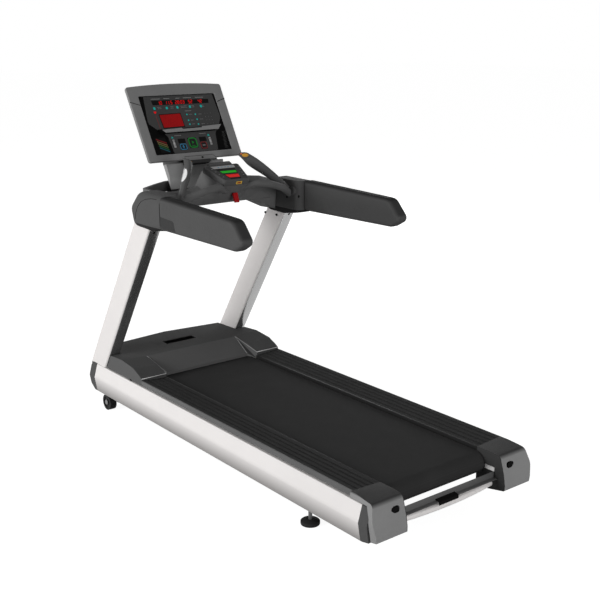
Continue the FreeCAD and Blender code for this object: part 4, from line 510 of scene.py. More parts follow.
def metal(name: str, slot: str, color: Color, roughness: float, metallic: float, bump: float = 0.00002,
          **values: object) -> Finish:
    """Return a brushed or turned metal's finish.

    Args:
        name: The material's name.
        slot: The material slot of the record.
        color: Its colour.
        roughness: Its roughness.
        metallic: Its share of metal.
        bump: The depth of its brush marks.
        values: Its other values.

    Returns:
        The finish.
    """
    return Finish(name, slot, color, Surface.BRUSHED, roughness, metallic, bump=bump, **values)


def printed_film(name: str, slot: str, color: Color, roughness: float = 0.45, shine: float = 0.22) -> Finish:
    """Return the finish of smooth film or of the ink on it."""
    return Finish(name, slot, color, Surface.FILM, roughness, scale=300, bump=0.00001, shine=shine)


def lit(name: str, slot: str, color: Color, glow: float, shine: float = 0.1, roughness: float = 0.5) -> Finish:
    """Return the finish of a lamp or of ink that a lamp shines through; on the console marker's core it is a
    painted glow.
    """
    return Finish(name, slot, color, Surface.LAMP, roughness, shine=shine, glow=glow)


class Palette:
    """Every finish of the treadmill, named for what it dresses."""

    frame_black = Finish("frame_powder_coat", "steel_black", grey(0.022), Surface.PAINT, 0.5)
    bar_steel = Finish("rear_bar_coated_steel", "steel_black", grey(0.085), Surface.PAINT, 0.5)
    # The darker second colour, fading in towards the bottom of the lower facet, is painted shade.
    panel = painted("side_panel_silver_paint", "panel_silver", (0.76, 0.735, 0.725), 0.5, bump=0.00002,
                    shine=0.3, second=(0.24, 0.230, 0.225), masks=(HeightFade(0.100, 0.184),))
    upright = painted("upright_silver_paint", "upright_silver", (0.72, 0.695, 0.685), 0.48, 0.12,
                      bump=0.00001, shine=0.3)
    strip = painted("upright_rear_strip", "cover_grey", grey(0.42), 0.22, 0.85, bump=0.00001)
    # The lighter second grey on the middle facets over the belt and on the faces that turn sideways is painted
    # light; the moulding is one dark grey.
    hood = Finish("hood_grained_plastic", "cover_grey", grey(0.066), roughness=0.62, shine=0.12,
                  second=grey(0.105), masks=(MiddleBand(0.264, 0.7405, 0.169), OuterFace()))
    cover = Finish("front_cover_plastic", "cover_grey", grey(0.066), roughness=0.62, shine=0.12)
    # Thin light beads along the hood's edges: painted highlights.
    edge_highlight = Finish("hood_edge_painted_highlight", "cover_grey", grey(0.55), roughness=0.45, scale=900, bump=0.00002)
    edge_soft_highlight = Finish("hood_edge_painted_soft_highlight", "cover_grey", grey(0.26), roughness=0.45, scale=900, bump=0.00002)
    # Near-black for joint lines, bolt heads and the rear bar's blank, and as painted shade in notches, slots,
    # sockets and dimples.
    seam = Finish("near_black_and_painted_recess_shade", "cover_grey", grey(0.008), roughness=0.8, shine=0.05)
    # The darker second grey on the upward-facing top is painted shade, and on the inner wall beside the belt a
    # painted shadow.
    cap = Finish("rear_cap_plastic", "cap_grey", grey(0.245), roughness=0.5, shine=0.12,
                 second=grey(0.045), masks=(UpperSide(0.3, 0.9), MiddleBand(0.2665)))
    boot = Finish("boot_plastic", "cap_grey", grey(0.075), roughness=0.55, shine=0.15)
    # Grey outer band; inward of the tread's outer edge the rail is near-black, painted shade on its inner face
    # beside the belt.
    foot = Finish("foot_rail_painted_inner_shade", "foot_silver", grey(0.125), Surface.PAINT, 0.5, scale=900,
                  bump=0.00004, shine=0.05, second=grey(0.016), masks=(MiddleBand(0.3995),))
    tread = Finish("foot_rail_rubber", "tread_black", grey(0.032), roughness=0.7, scale=900, shine=0.08)
    belt = Finish("running_belt_weave", "belt_black", grey(0.038), Surface.WEAVE, 0.72, scale=90,
                  variation=0.12, shine=0.06)
    drive = Finish("drive_belt_rubber", "belt_black", grey(0.015), roughness=0.65)
    board = Finish("deck_waxed_board", "deck_board", (0.30, 0.22, 0.15), Surface.BOARD, 0.4, scale=60)
    rubber = Finish("cushion_rubber", "cushion_rubber", grey(0.02), roughness=0.7)
    steel = metal("turned_steel", "steel_bare", grey(0.55), 0.3, 0.9)
    dark_bolt = metal("blackened_bolt", "steel_black", grey(0.02), 0.45, 0.5)
    stud = metal("leveler_stud", "steel_black", grey(0.12), 0.4, 0.5)
    zinc = metal("zinc_plate", "zinc", grey(0.62, 0.01), 0.4, 0.6)
    tube = metal("rear_tube_bright", "tube_chrome", (0.76, 0.735, 0.725), 0.42, 0.08, 0.00001,
                 variation=0.03, shine=0.5)
    sensor = metal("sensor_plate_steel", "sensor_steel", grey(0.60), 0.3, 0.4, 0.00001,
                   variation=0.02, shine=0.6)
    wheel = Finish("wheel_moulded", "wheel_black", grey(0.03), roughness=0.55, shine=0.15)
    hub = Finish("wheel_hub_cap", "wheel_black", grey(0.22), roughness=0.4, shine=0.3)
    pad_foot = Finish("leveling_pad_rubber", "wheel_black", grey(0.025), roughness=0.6, shine=0.15)
    # The darker second grey on the upward-facing top is painted shade.
    foam = Finish("arm_foam_skin", "arm_black", grey(0.076), Surface.FOAM, 0.66, scale=430, bump=0.0005,
                  shine=0.10, second=grey(0.026), masks=(UpperSide(0.2, 0.9),))
    arm_patch = Finish("arm_side_cover", "grip_black", grey(0.038), roughness=0.5, shine=0.15)
    shoulder = Finish("shoulder_plastic", "shoulder_grey", grey(0.078), roughness=0.55, shine=0.14,
                      second=grey(0.018), masks=(HeightFade(1.033, 1.0345),))
    dash = Finish("dashboard_plastic", "dash_grey", grey(0.118), roughness=0.55, shine=0.14)
    bar = Finish("handlebar_soft_coat", "bar_grey", grey(0.110), roughness=0.55, shine=0.14)
    grip = Finish("grip_plastic", "grip_black", grey(0.078), roughness=0.42, shine=0.25, second=grey(0.85),
                  masks=(OvalPatch((0.231, 0.405, 1.241), (-0.52, 0.606, 0.602), 0.040, 0.0185),))
    mast = Finish("mast_plastic", "shoulder_grey", grey(0.29), roughness=0.5, shine=0.14)
    bezel = Finish("bezel_satin_plastic", "bezel_grey", grey(0.225), roughness=0.5, shine=0.15)
    ledge = Finish("display_ledge_plastic", "bezel_grey", grey(0.25), roughness=0.45, shine=0.2)
    back = Finish("monitor_back_plastic", "back_grey", grey(0.060), roughness=0.55, shine=0.15)
    pod = Finish("console_case_plastic", "pod_grey", grey(0.088), roughness=0.5, shine=0.15)
    key_grey = Finish("rocker_plastic", "key_grey", grey(0.42), roughness=0.45)
    amber = Finish("grip_key_amber", "key_amber", (0.66, 0.33, 0.04), roughness=0.45, variation=0.05)
    safety = Finish("safety_key_red", "safety_red", (0.36, 0.010, 0.012), roughness=0.4, variation=0.05)
    socket = Finish("socket_plastic", "socket_black", grey(0.02), roughness=0.5)

    film = printed_film("display_film_black", "panel_black", grey(0.004), 0.4, 0.08)
    face = printed_film("display_film_charcoal", "panel_black", grey(0.066), shine=0.08)
    pane = printed_film("display_pane_dark", "panel_black", grey(0.010), 0.35, 0.08)
    key_black = printed_film("key_black", "panel_black", grey(0.022), shine=0.1)
    keypad = printed_film("console_keypad_film", "keypad_black", grey(0.058), shine=0.1)
    ink = printed_film("printed_ink_grey", "panel_black", grey(0.30), 0.5)
    list_ink = printed_film("printed_ink_dim", "panel_black", grey(0.085), 0.5)
    silver = printed_film("console_silver_strip", "pod_grey", grey(0.42), 0.4)
    marker = printed_film("console_marker_yellow", "key_amber", (0.70, 0.46, 0.06), 0.4)
    trend = tuple(printed_film(f"chart_ink_{i}", "panel_black", tone) for i, tone in enumerate((
        (0.20, 0.02, 0.02), (0.22, 0.13, 0.06), (0.14, 0.15, 0.05), (0.03, 0.13, 0.05), (0.02, 0.11, 0.14))))

    lamp_red = lit("lamp_red", "key_red", (0.50, 0.005, 0.006), 0.7, 0.05)
    lamp_green = lit("lamp_green", "key_green", (0.006, 0.26, 0.006), 0.6, 0.05)
    band_red = lit("lamp_red_band", "key_red", (0.46, 0.008, 0.006), 0.6, 0.05)
    matrix = lit("matrix_window_red", "key_red", (0.25, 0.005, 0.006), 0.4, 0.05)
    teal = lit("key_print_teal", "key_blue", (0.01, 0.36, 0.33), 0.25)
    ring_green = lit("key_print_green", "key_green", (0.006, 0.15, 0.02), 0.3)
    ring_red = lit("key_print_red", "key_red", (0.20, 0.02, 0.02), 0.25)
    ring_blue = lit("key_print_blue", "key_blue", (0.03, 0.17, 0.30), 0.3)
    orange = lit("grip_lamp_orange", "key_amber", (0.62, 0.12, 0.02), 0.3, 0.22, 0.4)


NODE_FINISHES: dict[Finish, tuple[str, ...]] = {
    Palette.frame_black: ("base_frame", "drive_motor", "lift_frame"),
    Palette.bar_steel: ("rear_bar",),
    Palette.panel: ("side_panel_left", "side_panel_right"),
    Palette.upright: ("upright_left", "upright_right"),
    Palette.hood: ("hood",),
    Palette.cover: ("front_cover",),
    Palette.strip: ("upright_covers",),
    Palette.cap: ("rear_cap_left", "rear_cap_right"),
    Palette.boot: ("panel_end_caps",),
    Palette.foot: ("foot_rails",),
    Palette.tread: ("foot_treads",),
    Palette.belt: ("running_belt",),
    Palette.drive: ("drive_belt",),
    Palette.board: ("deck",),
    Palette.rubber: ("deck_cushions",),
    Palette.steel: ("roller_axles", "motor_controller", "lift_motor", "front_roller", "rear_roller",
                    "motor_rotor", "lift_screw"),
    Palette.stud: ("leveler_left", "leveler_right"),
    Palette.dark_bolt: ("fasteners",),
    Palette.zinc: ("roller_brackets",),
    Palette.tube: ("rear_tube",),
    Palette.wheel: ("front_wheel_left", "front_wheel_right"),
    Palette.arm_patch: ("arm_panels",),
    Palette.foam: ("arm_left", "arm_right"),
    Palette.shoulder: ("shoulder_left", "shoulder_right"),
    Palette.dash: ("dashboard", "console_frame"),
    Palette.bar: ("handlebar",),
    Palette.grip: ("grip_left", "grip_right"),
    Palette.sensor: ("sensor_plates",),
    Palette.mast: ("mast_cover",),
    Palette.back: ("monitor_back",),
    Palette.bezel: ("monitor_bezel",),
    Palette.film: ("display_panel",),
    Palette.pod: ("console_body",),
    Palette.keypad: ("console_keypad",),
    Palette.socket: ("power_inlet",),
    Palette.key_black: ("start_button", "stop_button", "enter_button"),
    Palette.key_grey: ("incline_rocker", "speed_rocker"),
    Palette.amber: ("grip_rocker_left", "grip_rocker_right"),
    Palette.safety: ("safety_key",),
}


# ---------------------------------------------------------------- making meshes

@dataclass
class Workshop:
    """Makes meshes, puts them on their bodies and keeps the tally of pieces."""

    made: list[str] = field(default_factory=list)

    def mesh(self, name: str, shape: bmesh.types.BMesh, finish: Finish, body: str = "base",
             smooth: bool = False) -> bpy.types.Object:
        """Turn a bmesh into a piece, dress it and let it ride on a body.

        Args:
            name: The piece's name.
            shape: The mesh in the machine's frame; it is freed.
            finish: Its material.
            body: The CAD body it moves with.
            smooth: Whether the faces are shaded smooth.

        Returns:
            The new piece.
        """
        data = bpy.data.meshes.new(name)
        bmesh.ops.recalc_face_normals(shape, faces=shape.faces)
        shape.to_mesh(data)
        shape.free()
        data.polygons.foreach_set("use_smooth", [smooth] * len(data.polygons))
        data.materials.append(finish.material())
        piece = bpy.data.objects.new(name, data)
        bpy.context.scene.collection.objects.link(piece)
        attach(piece, body)
        self.made.append(name)
        return piece


def skin_rings(shape: bmesh.types.BMesh, rings: Sequence[Sequence[bmesh.types.BMVert]]) -> None:
    """Join each ring of corners to the next with four-sided faces.

    Args:
        shape: The mesh that holds the corners.
        rings: The rings, all with the same number of corners.
    """
    for one, two in zip(rings, rings[1:]):
        for i in range(len(one)):
            j = (i + 1) % len(one)
            shape.faces.new((one[i], one[j], two[j], two[i]))


def level_ring(shape: bmesh.types.BMesh, outline: Sequence[Point2], level: float,
               place: Matrix) -> list[bmesh.types.BMVert]:
    """Add an outline's corners at a level above a face, and return them."""
    return [shape.verts.new(place @ Vector((across, up, level))) for across, up in outline]


def plate(shape: bmesh.types.BMesh, outline: Sequence[Point2], low: float, high: float,
          place: Matrix, rim: float = 0.0) -> None:
    """Add a flat plate with a given outline to a bmesh.

    Args:
        shape: The mesh that the plate joins.
        outline: Its corners in order, in metres on the face it lies on.
        low: Its lower level above that face.
        high: Its upper level above that face.
        place: The face's place in the machine's frame.
        rim: How far its upper outline is drawn in, for a slightly chamfered edge.
    """
    count = len(outline)
    centre = Vector((sum(p[0] for p in outline) / count, sum(p[1] for p in outline) / count))
    drawn_in = []
    for corner in outline:
        away = Vector(corner) - centre
        drawn_in.append(centre + away * max(0.0, 1 - rim / max(away.length, 1e-6)))
    shoulder = high - min(rim, (high - low) / 2)
    rings = [level_ring(shape, points, level, place)
             for points, level in ((outline, low), (outline, shoulder), (drawn_in, high))]
    shape.faces.new(rings[0][::-1])
    shape.faces.new(rings[2])
    skin_rings(shape, rings)


def ring(shape: bmesh.types.BMesh, outline: Sequence[Point2], inner: Sequence[Point2], low: float,
         high: float, place: Matrix) -> None:
    """Add a closed band between two outlines to a bmesh.

    Args:
        shape: The mesh that the band joins.
        outline: The band's outer corners.
        inner: Its inner corners, as many as the outer ones.
        low: Its lower level above the face.
        high: Its upper level above the face.
        place: The face's place in the machine's frame.
    """
    loops = [level_ring(shape, points, level, place)
             for points, level in ((outline, low), (outline, high), (inner, high), (inner, low))]
    skin_rings(shape, loops + loops[:1])


def disc(shape: bmesh.types.BMesh, profile: Sequence[Point2], centre: Vector, axis: Vector,
         steps: int = 32) -> None:
    """Add a turned part to a bmesh.

    Args:
        shape: The mesh that it joins.
        profile: Radius and distance along the axis of each ring, from one end to the other.
        centre: Where the axis starts.
        axis: The direction of the axis.
        steps: The number of facets round it.
    """
    turn = axis.to_track_quat("Z", "Y").to_matrix().to_4x4()
    place = Matrix.Translation(centre) @ turn
    rings = [level_ring(shape, oval(2 * radius, 2 * radius, steps=steps), along, place)
             for radius, along in profile]
    shape.faces.new(rings[0][::-1])
    shape.faces.new(rings[-1])
    skin_rings(shape, rings)


def bead(shape: bmesh.types.BMesh, points: Sequence[Vector], thickness: float) -> None:
    """Add a thin round bead along a run of points to a bmesh.

    Args:
        shape: The mesh that it joins.
        points: The points, in the machine's frame.
        thickness: Half the bead's width.
    """
    for start, end in zip(points, points[1:]):
        run = end - start
        disc(shape, ((thickness, 0.0), (thickness, run.length)), start, run.normalized(), 8)


def rounded(width: float, height: float, radius: float, centre: Point2 = (0.0, 0.0),
            steps: int = 5) -> list[Point2]:
    """Return the outline of a rectangle with round corners.

    Args:
        width: Its width.
        height: Its height.
        radius: The radius of its corners.
        centre: Its middle.
        steps: The number of facets in a corner.

    Returns:
        The corners in order.
    """
    points = []
    corners = ((1, 1, 0), (-1, 1, 90), (-1, -1, 180), (1, -1, 270))
    for side, level, start in corners:
        for i in range(steps + 1):
            angle = math.radians(start + 90 * i / steps)
            points.append((centre[0] + side * (width / 2 - radius) + radius * math.cos(angle),
                           centre[1] + level * (height / 2 - radius) + radius * math.sin(angle)))
    return points


def oval(width: float, height: float, centre: Point2 = (0.0, 0.0), steps: int = 20) -> list[Point2]:
    """Return an elliptical outline."""
    return [(centre[0] + width / 2 * math.cos(2 * math.pi * i / steps),
             centre[1] + height / 2 * math.sin(2 * math.pi * i / steps)) for i in range(steps)]


def stroke(start: Point2, end: Point2, width: float) -> list[Point2]:
    """Return the outline of a straight line of some width.

    Args:
        start: One end of the line.
        end: Its other end.
        width: Its width.

    Returns:
        The four corners in order.
    """
    run = Vector(end) - Vector(start)
    side = Vector((-run.y, run.x)).normalized() * width / 2
    return [tuple(Vector(p) + s) for p, s in ((start, -side), (end, -side), (end, side), (start, side))]


def in_metres(outline: Sequence[Point2]) -> list[Point2]:
    """Return an outline that is given in millimetres, in metres."""
    return [(across * MM, up * MM) for across, up in outline]


def turned_to_rear(spot: Point3, degrees: float = 90) -> Matrix:
    """Return the place of a face at a spot, tilted from level to look to the machine's rear."""
    return Matrix.Translation(spot) @ Matrix.Rotation(math.radians(degrees), 4, "X")


@dataclass
class PrintedFace:
    """A tilted face with printed shapes on it: u to the runner's right, v up the face, w out of it.

    The face is found from the lowest corner of the CAD box of the film that lies in it.
    """

    shop: Workshop
    tilt: float
    film_start: float
    film_top: float
    film_under: float
    sink: float = 0.0004
    rise: float = 0.0004

    def film_corner(self) -> Vector:
        """Return the lowest corner of the film's CAD box; each kind of face has its own film."""
        raise NotImplementedError

    def place(self) -> Matrix:
        """Return the face's place in the machine's frame.

        Returns:
            The matrix that takes a point of the face into the frame.
        """
        corner = self.film_corner()
        c, s = math.cos(self.tilt), math.sin(self.tilt)
        back = self.film_start * c - self.film_top * s
        down = self.film_start * s + self.film_under * c
        origin = Vector((0.0, corner.y - back, corner.z - down))
        return Matrix.Translation(origin) @ Matrix.Rotation(self.tilt, 4, "X")

    def printed(self, name: str, outlines: Sequence[Sequence[Point2]], finish: Finish, lift: float = 0.0,
                body: str = "base", level: float | None = None) -> None:
        """Add thin printed shapes on the film.

        Args:
            name: The piece's name.
            outlines: Their outlines in millimetres on the face.
            finish: Their ink.
            lift: How far above the film they start.
            body: The CAD body they move with.
            level: The level they lie on, the film's own if None.
        """
        start = (self.film_top if level is None else level) + lift
        shape = bmesh.new()
        place = self.place()
        for outline in outlines:
            plate(shape, in_metres(outline), start - self.sink, start + self.rise, place)
        self.shop.mesh(name, shape, finish, body)


# ---------------------------------------------------------------- the machine's parts

@dataclass
class SoftEdges:
    """Small rounded edges on the hard pieces of the frame, made by modifiers only."""

    angle: float = math.radians(28)
    crisp_angle: float = math.radians(7)
    weld_reach: float = 0.00001
    crisp: tuple[str, ...] = ("hood", "side_panel_left", "side_panel_right")
    widths: dict[float, tuple[str, ...]] = field(default_factory=lambda: {
        0.0025: ("hood", "rear_cap_left", "rear_cap_right", "front_cover"),
        0.0015: ("monitor_bezel", "monitor_back", "mast_cover", "dashboard", "console_body", "panel_end_caps",
                 "safety_key"),
        0.0008: ("side_panel_left", "side_panel_right", "foot_rails", "rear_bar", "incline_rocker",
                 "speed_rocker"),
        0.0006: ("start_button", "stop_button", "enter_button", "upright_covers", "roller_brackets"),
    })

    def shading(self, limit: float) -> bpy.types.NodeTree:
        """Return the node group that shades gentle edges smooth and keeps the others.

        Args:
            limit: The angle past which an edge stays sharp.

        Returns:
            The geometry node group, shared by all nodes with that limit.
        """
        name = f"smooth_by_{round(math.degrees(limit))}_degrees"
        found = bpy.data.node_groups.get(name)
        if found is not None:
            return found
        tree = bpy.data.node_groups.new(name, "GeometryNodeTree")
        for way in ("INPUT", "OUTPUT"):
            tree.interface.new_socket("Geometry", in_out=way, socket_type="NodeSocketGeometry")
        start = tree.nodes.new("NodeGroupInput")
        end = tree.nodes.new("NodeGroupOutput")
        plain = tree.nodes.new("GeometryNodeRemoveAttribute")
        plain.inputs["Name"].default_value = "custom_normal"
        weld = tree.nodes.new("GeometryNodeMergeByDistance")
        weld.inputs["Distance"].default_value = self.weld_reach
        faces = tree.nodes.new("GeometryNodeSetShadeSmooth")
        edges = tree.nodes.new("GeometryNodeSetShadeSmooth")
        edges.domain = "EDGE"
        edges.inputs["Shade Smooth"].default_value = False
        angle = tree.nodes.new("GeometryNodeInputMeshEdgeAngle")
        sharp = tree.nodes.new("FunctionNodeCompare")
        sharp.operation = "GREATER_THAN"
        sharp.inputs["B"].default_value = limit
        wires = ((start.outputs[0], plain.inputs["Geometry"]),
                 (plain.outputs["Geometry"], weld.inputs["Geometry"]),
                 (weld.outputs["Geometry"], faces.inputs["Geometry"]),
                 (faces.outputs["Geometry"], edges.inputs["Geometry"]),
                 (angle.outputs["Unsigned Angle"], sharp.inputs["A"]),
                 (sharp.outputs["Result"], edges.inputs["Selection"]),
                 (edges.outputs["Geometry"], end.inputs[0]))
        for source, target in wires:
            tree.links.new(source, target)
        return tree

    def dress(self) -> None:
        """Give the listed nodes bevelled edges and every node clean shading."""
        width_of = {name: width for width, names in self.widths.items() for name in names}
        for name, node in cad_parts.items():
            if name in width_of:
                weld = node.modifiers.new("weld", "WELD")
                weld.merge_threshold = self.weld_reach
                bevel = node.modifiers.new("soft_edges", "BEVEL")
                bevel.width = width_of[name]
                bevel.segments = 2
                bevel.limit_method = "ANGLE"
                bevel.angle_limit = self.angle
            shade = node.modifiers.new("shading", "NODES")
            shade.node_group = self.shading(self.crisp_angle if name in self.crisp else self.angle)


@dataclass
class Digits:
    """Seven-segment figures drawn as raised lit bars."""

    height: float = 0.016
    width: float = 0.0080
    bar: float = 0.0024
    slant: float = 0.12
    rise: float = 0.0003
    gap: float = 1.9
    colon: Point2 = (0.3, 0.7)

    def bars(self, sign: str) -> Iterator[tuple[Point2, Point2]]:
        """Yield the ends of each lit bar of a figure.

        Args:
            sign: The figure.

        Yields:
            Both ends of a bar, from the figure's lower left corner.
        """
        w, h = self.width, self.height
        spots = {"a": ((0, h), (w, h)), "b": ((w, h / 2), (w, h)), "c": ((w, 0), (w, h / 2)),
                 "d": ((0, 0), (w, 0)), "e": ((0, 0), (0, h / 2)), "f": ((0, h / 2), (0, h)),
                 "g": ((0, h / 2), (w, h / 2))}
        lit_bars = {"0": "abcdef", "1": "bc", "2": "abged", "3": "abgcd", "4": "fgbc", "5": "afgcd",
                    "6": "afgecd", "7": "abc", "8": "abcdefg", "9": "abcdfg"}
        for segment in lit_bars[sign]:
            yield spots[segment]

    def draw(self, shape: bmesh.types.BMesh, text: str, start: Point2, level: float, place: Matrix) -> None:
        """Add a row of figures, with points and colons between them.

        Args:
            shape: The mesh that they join.
            text: The figures; a full stop or colon takes less room.
            start: The lower left corner of the first figure on the face.
            level: The face's level under them.
            place: The face's place in the machine's frame.
        """
        across = start[0]
        top = level + self.rise
        for sign in text:
            if sign in ".:":
                for up in (0.0,) if sign == "." else tuple(self.height * share for share in self.colon):
                    dot = oval(self.bar, self.bar, (across + self.slant * up, start[1] + up), 8)
                    plate(shape, dot, level, top, place)
                across += 2 * self.bar
                continue
            for one, two in self.bars(sign):
                trim = (Vector(two) - Vector(one)).normalized() * self.bar * 0.35
                ends = [(across + p.x + self.slant * p.y, start[1] + p.y)
                        for p in (Vector(one) + trim, Vector(two) - trim)]
                plate(shape, stroke(*ends, self.bar), level, top, place)
            across += self.width + self.gap * self.bar


@dataclass
class Monitor(PrintedFace):
    """The tilted monitor: printed film, lamps, keys and the seams of its frame."""

    tilt: float = math.radians(60)
    film_start: float = 0.0333
    film_top: float = -0.003
    film_under: float = -0.007
    rise: float = 0.0003
    key_level: float = -0.0012
    ledge_levels: Point2 = (0.004, 0.0098)
    ledge_rim: float = 0.0015
    figures_up: float = 0.288
    figures: tuple[tuple[str, float], ...] = (("10", -119), ("11.5", -79), ("28:03", -23), ("52", 51),
                                              ("42", 107))
    lamp_marks: tuple[Point2, ...] = ((21, 229), (69, 228), (20, 199), (70, 201), (20, 178), (69, 176))
    rocker_middles: tuple[tuple[str, float], ...] = (("incline_rocker", -98), ("speed_rocker", 106))

    def film_corner(self) -> Vector:
        """Return the lowest corner of the monitor film's CAD box."""
        low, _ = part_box("display_panel")
        return low

    @staticmethod
    def apron() -> list[list[Point2]]:
        """Return the lower film as strips that leave the keys' and rockers' holes open.

        Returns:
            The strips' outlines in millimetres.
        """
        top, bottom = 137, 35
        holes = ((-104, -92, 64, 106), (-73, -35, 49, 81), (-20, 28, 55, 109), (43, 79, 46, 84),
                 (100, 112, 64, 106))
        strips = [[(-133, top), (-104, top), (-104, bottom), (-110, bottom), (-114, 39), (-121, 122)],
                  [(112, top), (160, top), (148, 122), (134, 39), (128, bottom), (112, bottom)]]
        for left, right, low, high in holes:
            strips.append([(left, top), (right, top), (right, high), (left, high)])
            strips.append([(left, low), (right, low), (right, bottom), (left, bottom)])
        for before, after in zip(holes, holes[1:]):
            strips.append([(before[1], top), (after[0], top), (after[0], bottom), (before[1], bottom)])
        return strips

    def build_face(self) -> None:
        """Lay the charcoal film, its lower apron, the dark display strip and the panes."""
        self.printed("display_face", [[
            (-187, 331), (200, 331), (207, 215), (201, 196), (182, 163), (170, 158), (-165, 158), (-172, 166),
            (-200, 190), (-203, 206)]], Palette.face, 0.0002)
        self.printed("display_apron", self.apron(), Palette.face, 0.0002)
        panes = (("digit_strip", [(-151, 310), (169, 306), (165, 284), (-149, 286)], Palette.pane, 0.0005),
                 ("matrix_surround", [(-134, 238), (-12, 240), (-10, 166), (-130, 164)], Palette.pane, 0.0005),
                 ("matrix_window", [(-130, 234), (-16, 236), (-14, 171), (-126, 169)], Palette.matrix, 0.0008),
                 ("chart_window", [(-194, 119), (-140, 119), (-134, 42), (-181, 42)], Palette.pane, 0.0004),
                 ("key_recess_left", rounded(40, 24, 3, (-54, 95)), Palette.pane, 0.0004),
                 ("key_recess_right", rounded(40, 24, 3, (65, 97)), Palette.pane, 0.0004))
        for name, outline, finish, lift in panes:
            self.printed(name, [outline], finish, lift)

    def build_lamps(self) -> None:
        """Draw the lit figures, the heart lamp, the bar column and the matrix rows."""
        shape = bmesh.new()
        for text, across in self.figures:
            Digits().draw(shape, text, (across * MM, self.figures_up), self.film_top + 0.0008, self.place())
        self.shop.mesh("lit_figures", shape, Palette.lamp_red)
        heart = [(-149, 241), (-156, 249), (-154, 255), (-149, 252), (-144, 255), (-142, 249)]
        self.printed("heart_lamp", [heart], Palette.lamp_red, 0.0006)
        steps = [stroke((-152 + 0.2 * i, 232 - 6 * i), (-148 + 0.2 * i, 232 - 6 * i), 2.6) for i in range(12)]
        self.printed("effort_column", steps, Palette.ring_red, 0.0006)
        rows = [stroke((-127, 175 + 5.6 * i), (-17, 177 + 5.6 * i), 0.7) for i in range(11)]
        self.printed("matrix_rows", rows, Palette.pane, 0.0010)

    def captions(self) -> list[list[Point2]]:
        """Return the bars that stand for the captions, from the widest lines to the thinnest.

        Returns:
            The bars' outlines in millimetres.
        """
        heads = [((-150, 318), (-100, 317)), ((-80, 318), (-48, 317)), ((-15, 317.5), (8, 317)),
                 ((28, 317.5), (74, 316.5)), ((96, 317), (144, 316))]
        small = [((-128 + d, v), (-108 + d + e, v))
                 for d, e in ((0, 0), (72, -4), (129, 14), (190, -6), (241, 0)) for v in (274, 267)]
        beside = [((86 if u > 50 else 33, v), (104 if u > 50 else 50, v)) for u, v in self.lamp_marks]
        names = [((16, 248), (52, 248)), ((-86, 124), (-48, 124)), ((54, 126), (92, 126))]
        return [stroke(*ends, width) for runs, width in ((heads, 2.6), (small + beside, 1.3), (names, 2.0))
                for ends in runs]

    def build_print(self) -> None:
        """Print the captions as plain bars, the teal lamp marks, the small dots and the chart."""
        self.printed("captions", self.captions(), Palette.ink, 0.0005)
        self.printed("teal_lamps", [rounded(11, 13, 4, (u, 269)) for u in (-146, -78, -19, 52, 115)],
                     Palette.teal, 0.0006)
        self.printed("teal_keys", [oval(8, 8, spot, 12) for spot in self.lamp_marks], Palette.teal, 0.0006)
        dots = [oval(2, 2, (122 + 17 * i, 176 + 18 * j), 8) for i in range(3) for j in range(4)]
        self.printed("level_dots", dots, Palette.ink, 0.0005)
        lines = [stroke((176 + 0.14 * (v - 45), v), (196 + 0.1 * (v - 45) - 3 * (i % 3), v), 1.6)
                 for i, v in enumerate(range(45, 130, 7))]
        self.printed("side_list", lines, Palette.list_ink, 0.0005)
        for i, finish in enumerate(Palette.trend):
            drop = 11 * i
            run = stroke((-190 + 0.18 * drop, 113 - drop), (-139 + 0.10 * drop, 90 - drop), 5)
            self.printed(f"chart_trend_{i}", [run], finish, 0.0007)

    def build_ledge(self) -> None:
        """Put the grey reading ledge's top on the film, with its dip in the middle."""
        shape = bmesh.new()
        outline = [(-147, 154), (-40, 157), (-36, 151), (74, 153), (78, 159), (189, 163), (166, 139),
                   (-133, 138)]
        plate(shape, in_metres(outline), *self.ledge_levels, self.place(), self.ledge_rim)
        self.shop.mesh("ledge_cap", shape, Palette.ledge)

    def build_keys(self) -> None:
        """Print the rings and marks on the three moving keys and the dimples on the rockers."""
        ink = self.key_level
        rings = (("start_button", Palette.ring_green, (4, 82), (46, 52), 13, 5.0),
                 ("stop_button", Palette.ring_red, (61, 65), (34, 35), 8, 2.6),
                 ("enter_button", Palette.ring_blue, (-54, 65), (36, 30), 7, 2.8))
        for name, finish, middle, (width, height), radius, line in rings:
            shape = bmesh.new()
            outer = rounded(width, height, radius, middle)
            inner = rounded(width - 2 * line, height - 2 * line, max(1.0, radius - line), middle)
            ring(shape, in_metres(outer), in_metres(inner), ink - 0.0006, ink + self.rise, self.place())
            self.shop.mesh(f"{name}_ring", shape, finish, name)
        self.printed("start_mark", [[(0, 76), (11, 84), (0, 92)], stroke((-6, 67), (14, 67), 2.2)],
                     Palette.ring_green, 0, "start_button", ink)
        self.printed("stop_mark", [stroke((53, 65), (69, 65), 4)], Palette.ink, 0, "stop_button", ink)
        self.printed("enter_mark", [stroke((-54, 57), (-54, 74), 4), [(-60, 66), (-48, 66), (-54, 58)]],
                     Palette.ring_blue, 0, "enter_button", ink)
        for name, middle in self.rocker_middles:
            # Dark strokes stand for the rocker's dimples, as painted shade.
            marks = [stroke((middle - 4, v), (middle + 4, v), 2.0) for v in (72, 77, 93, 98)]
            self.printed(f"{name}_marks", marks, Palette.seam, 0, name, ink)
            arrow = [(middle - 8, 112), (middle + 4, 112), (middle - 2, 122)]
            self.printed(f"{name}_arrow", [arrow], Palette.teal, 0.0006)

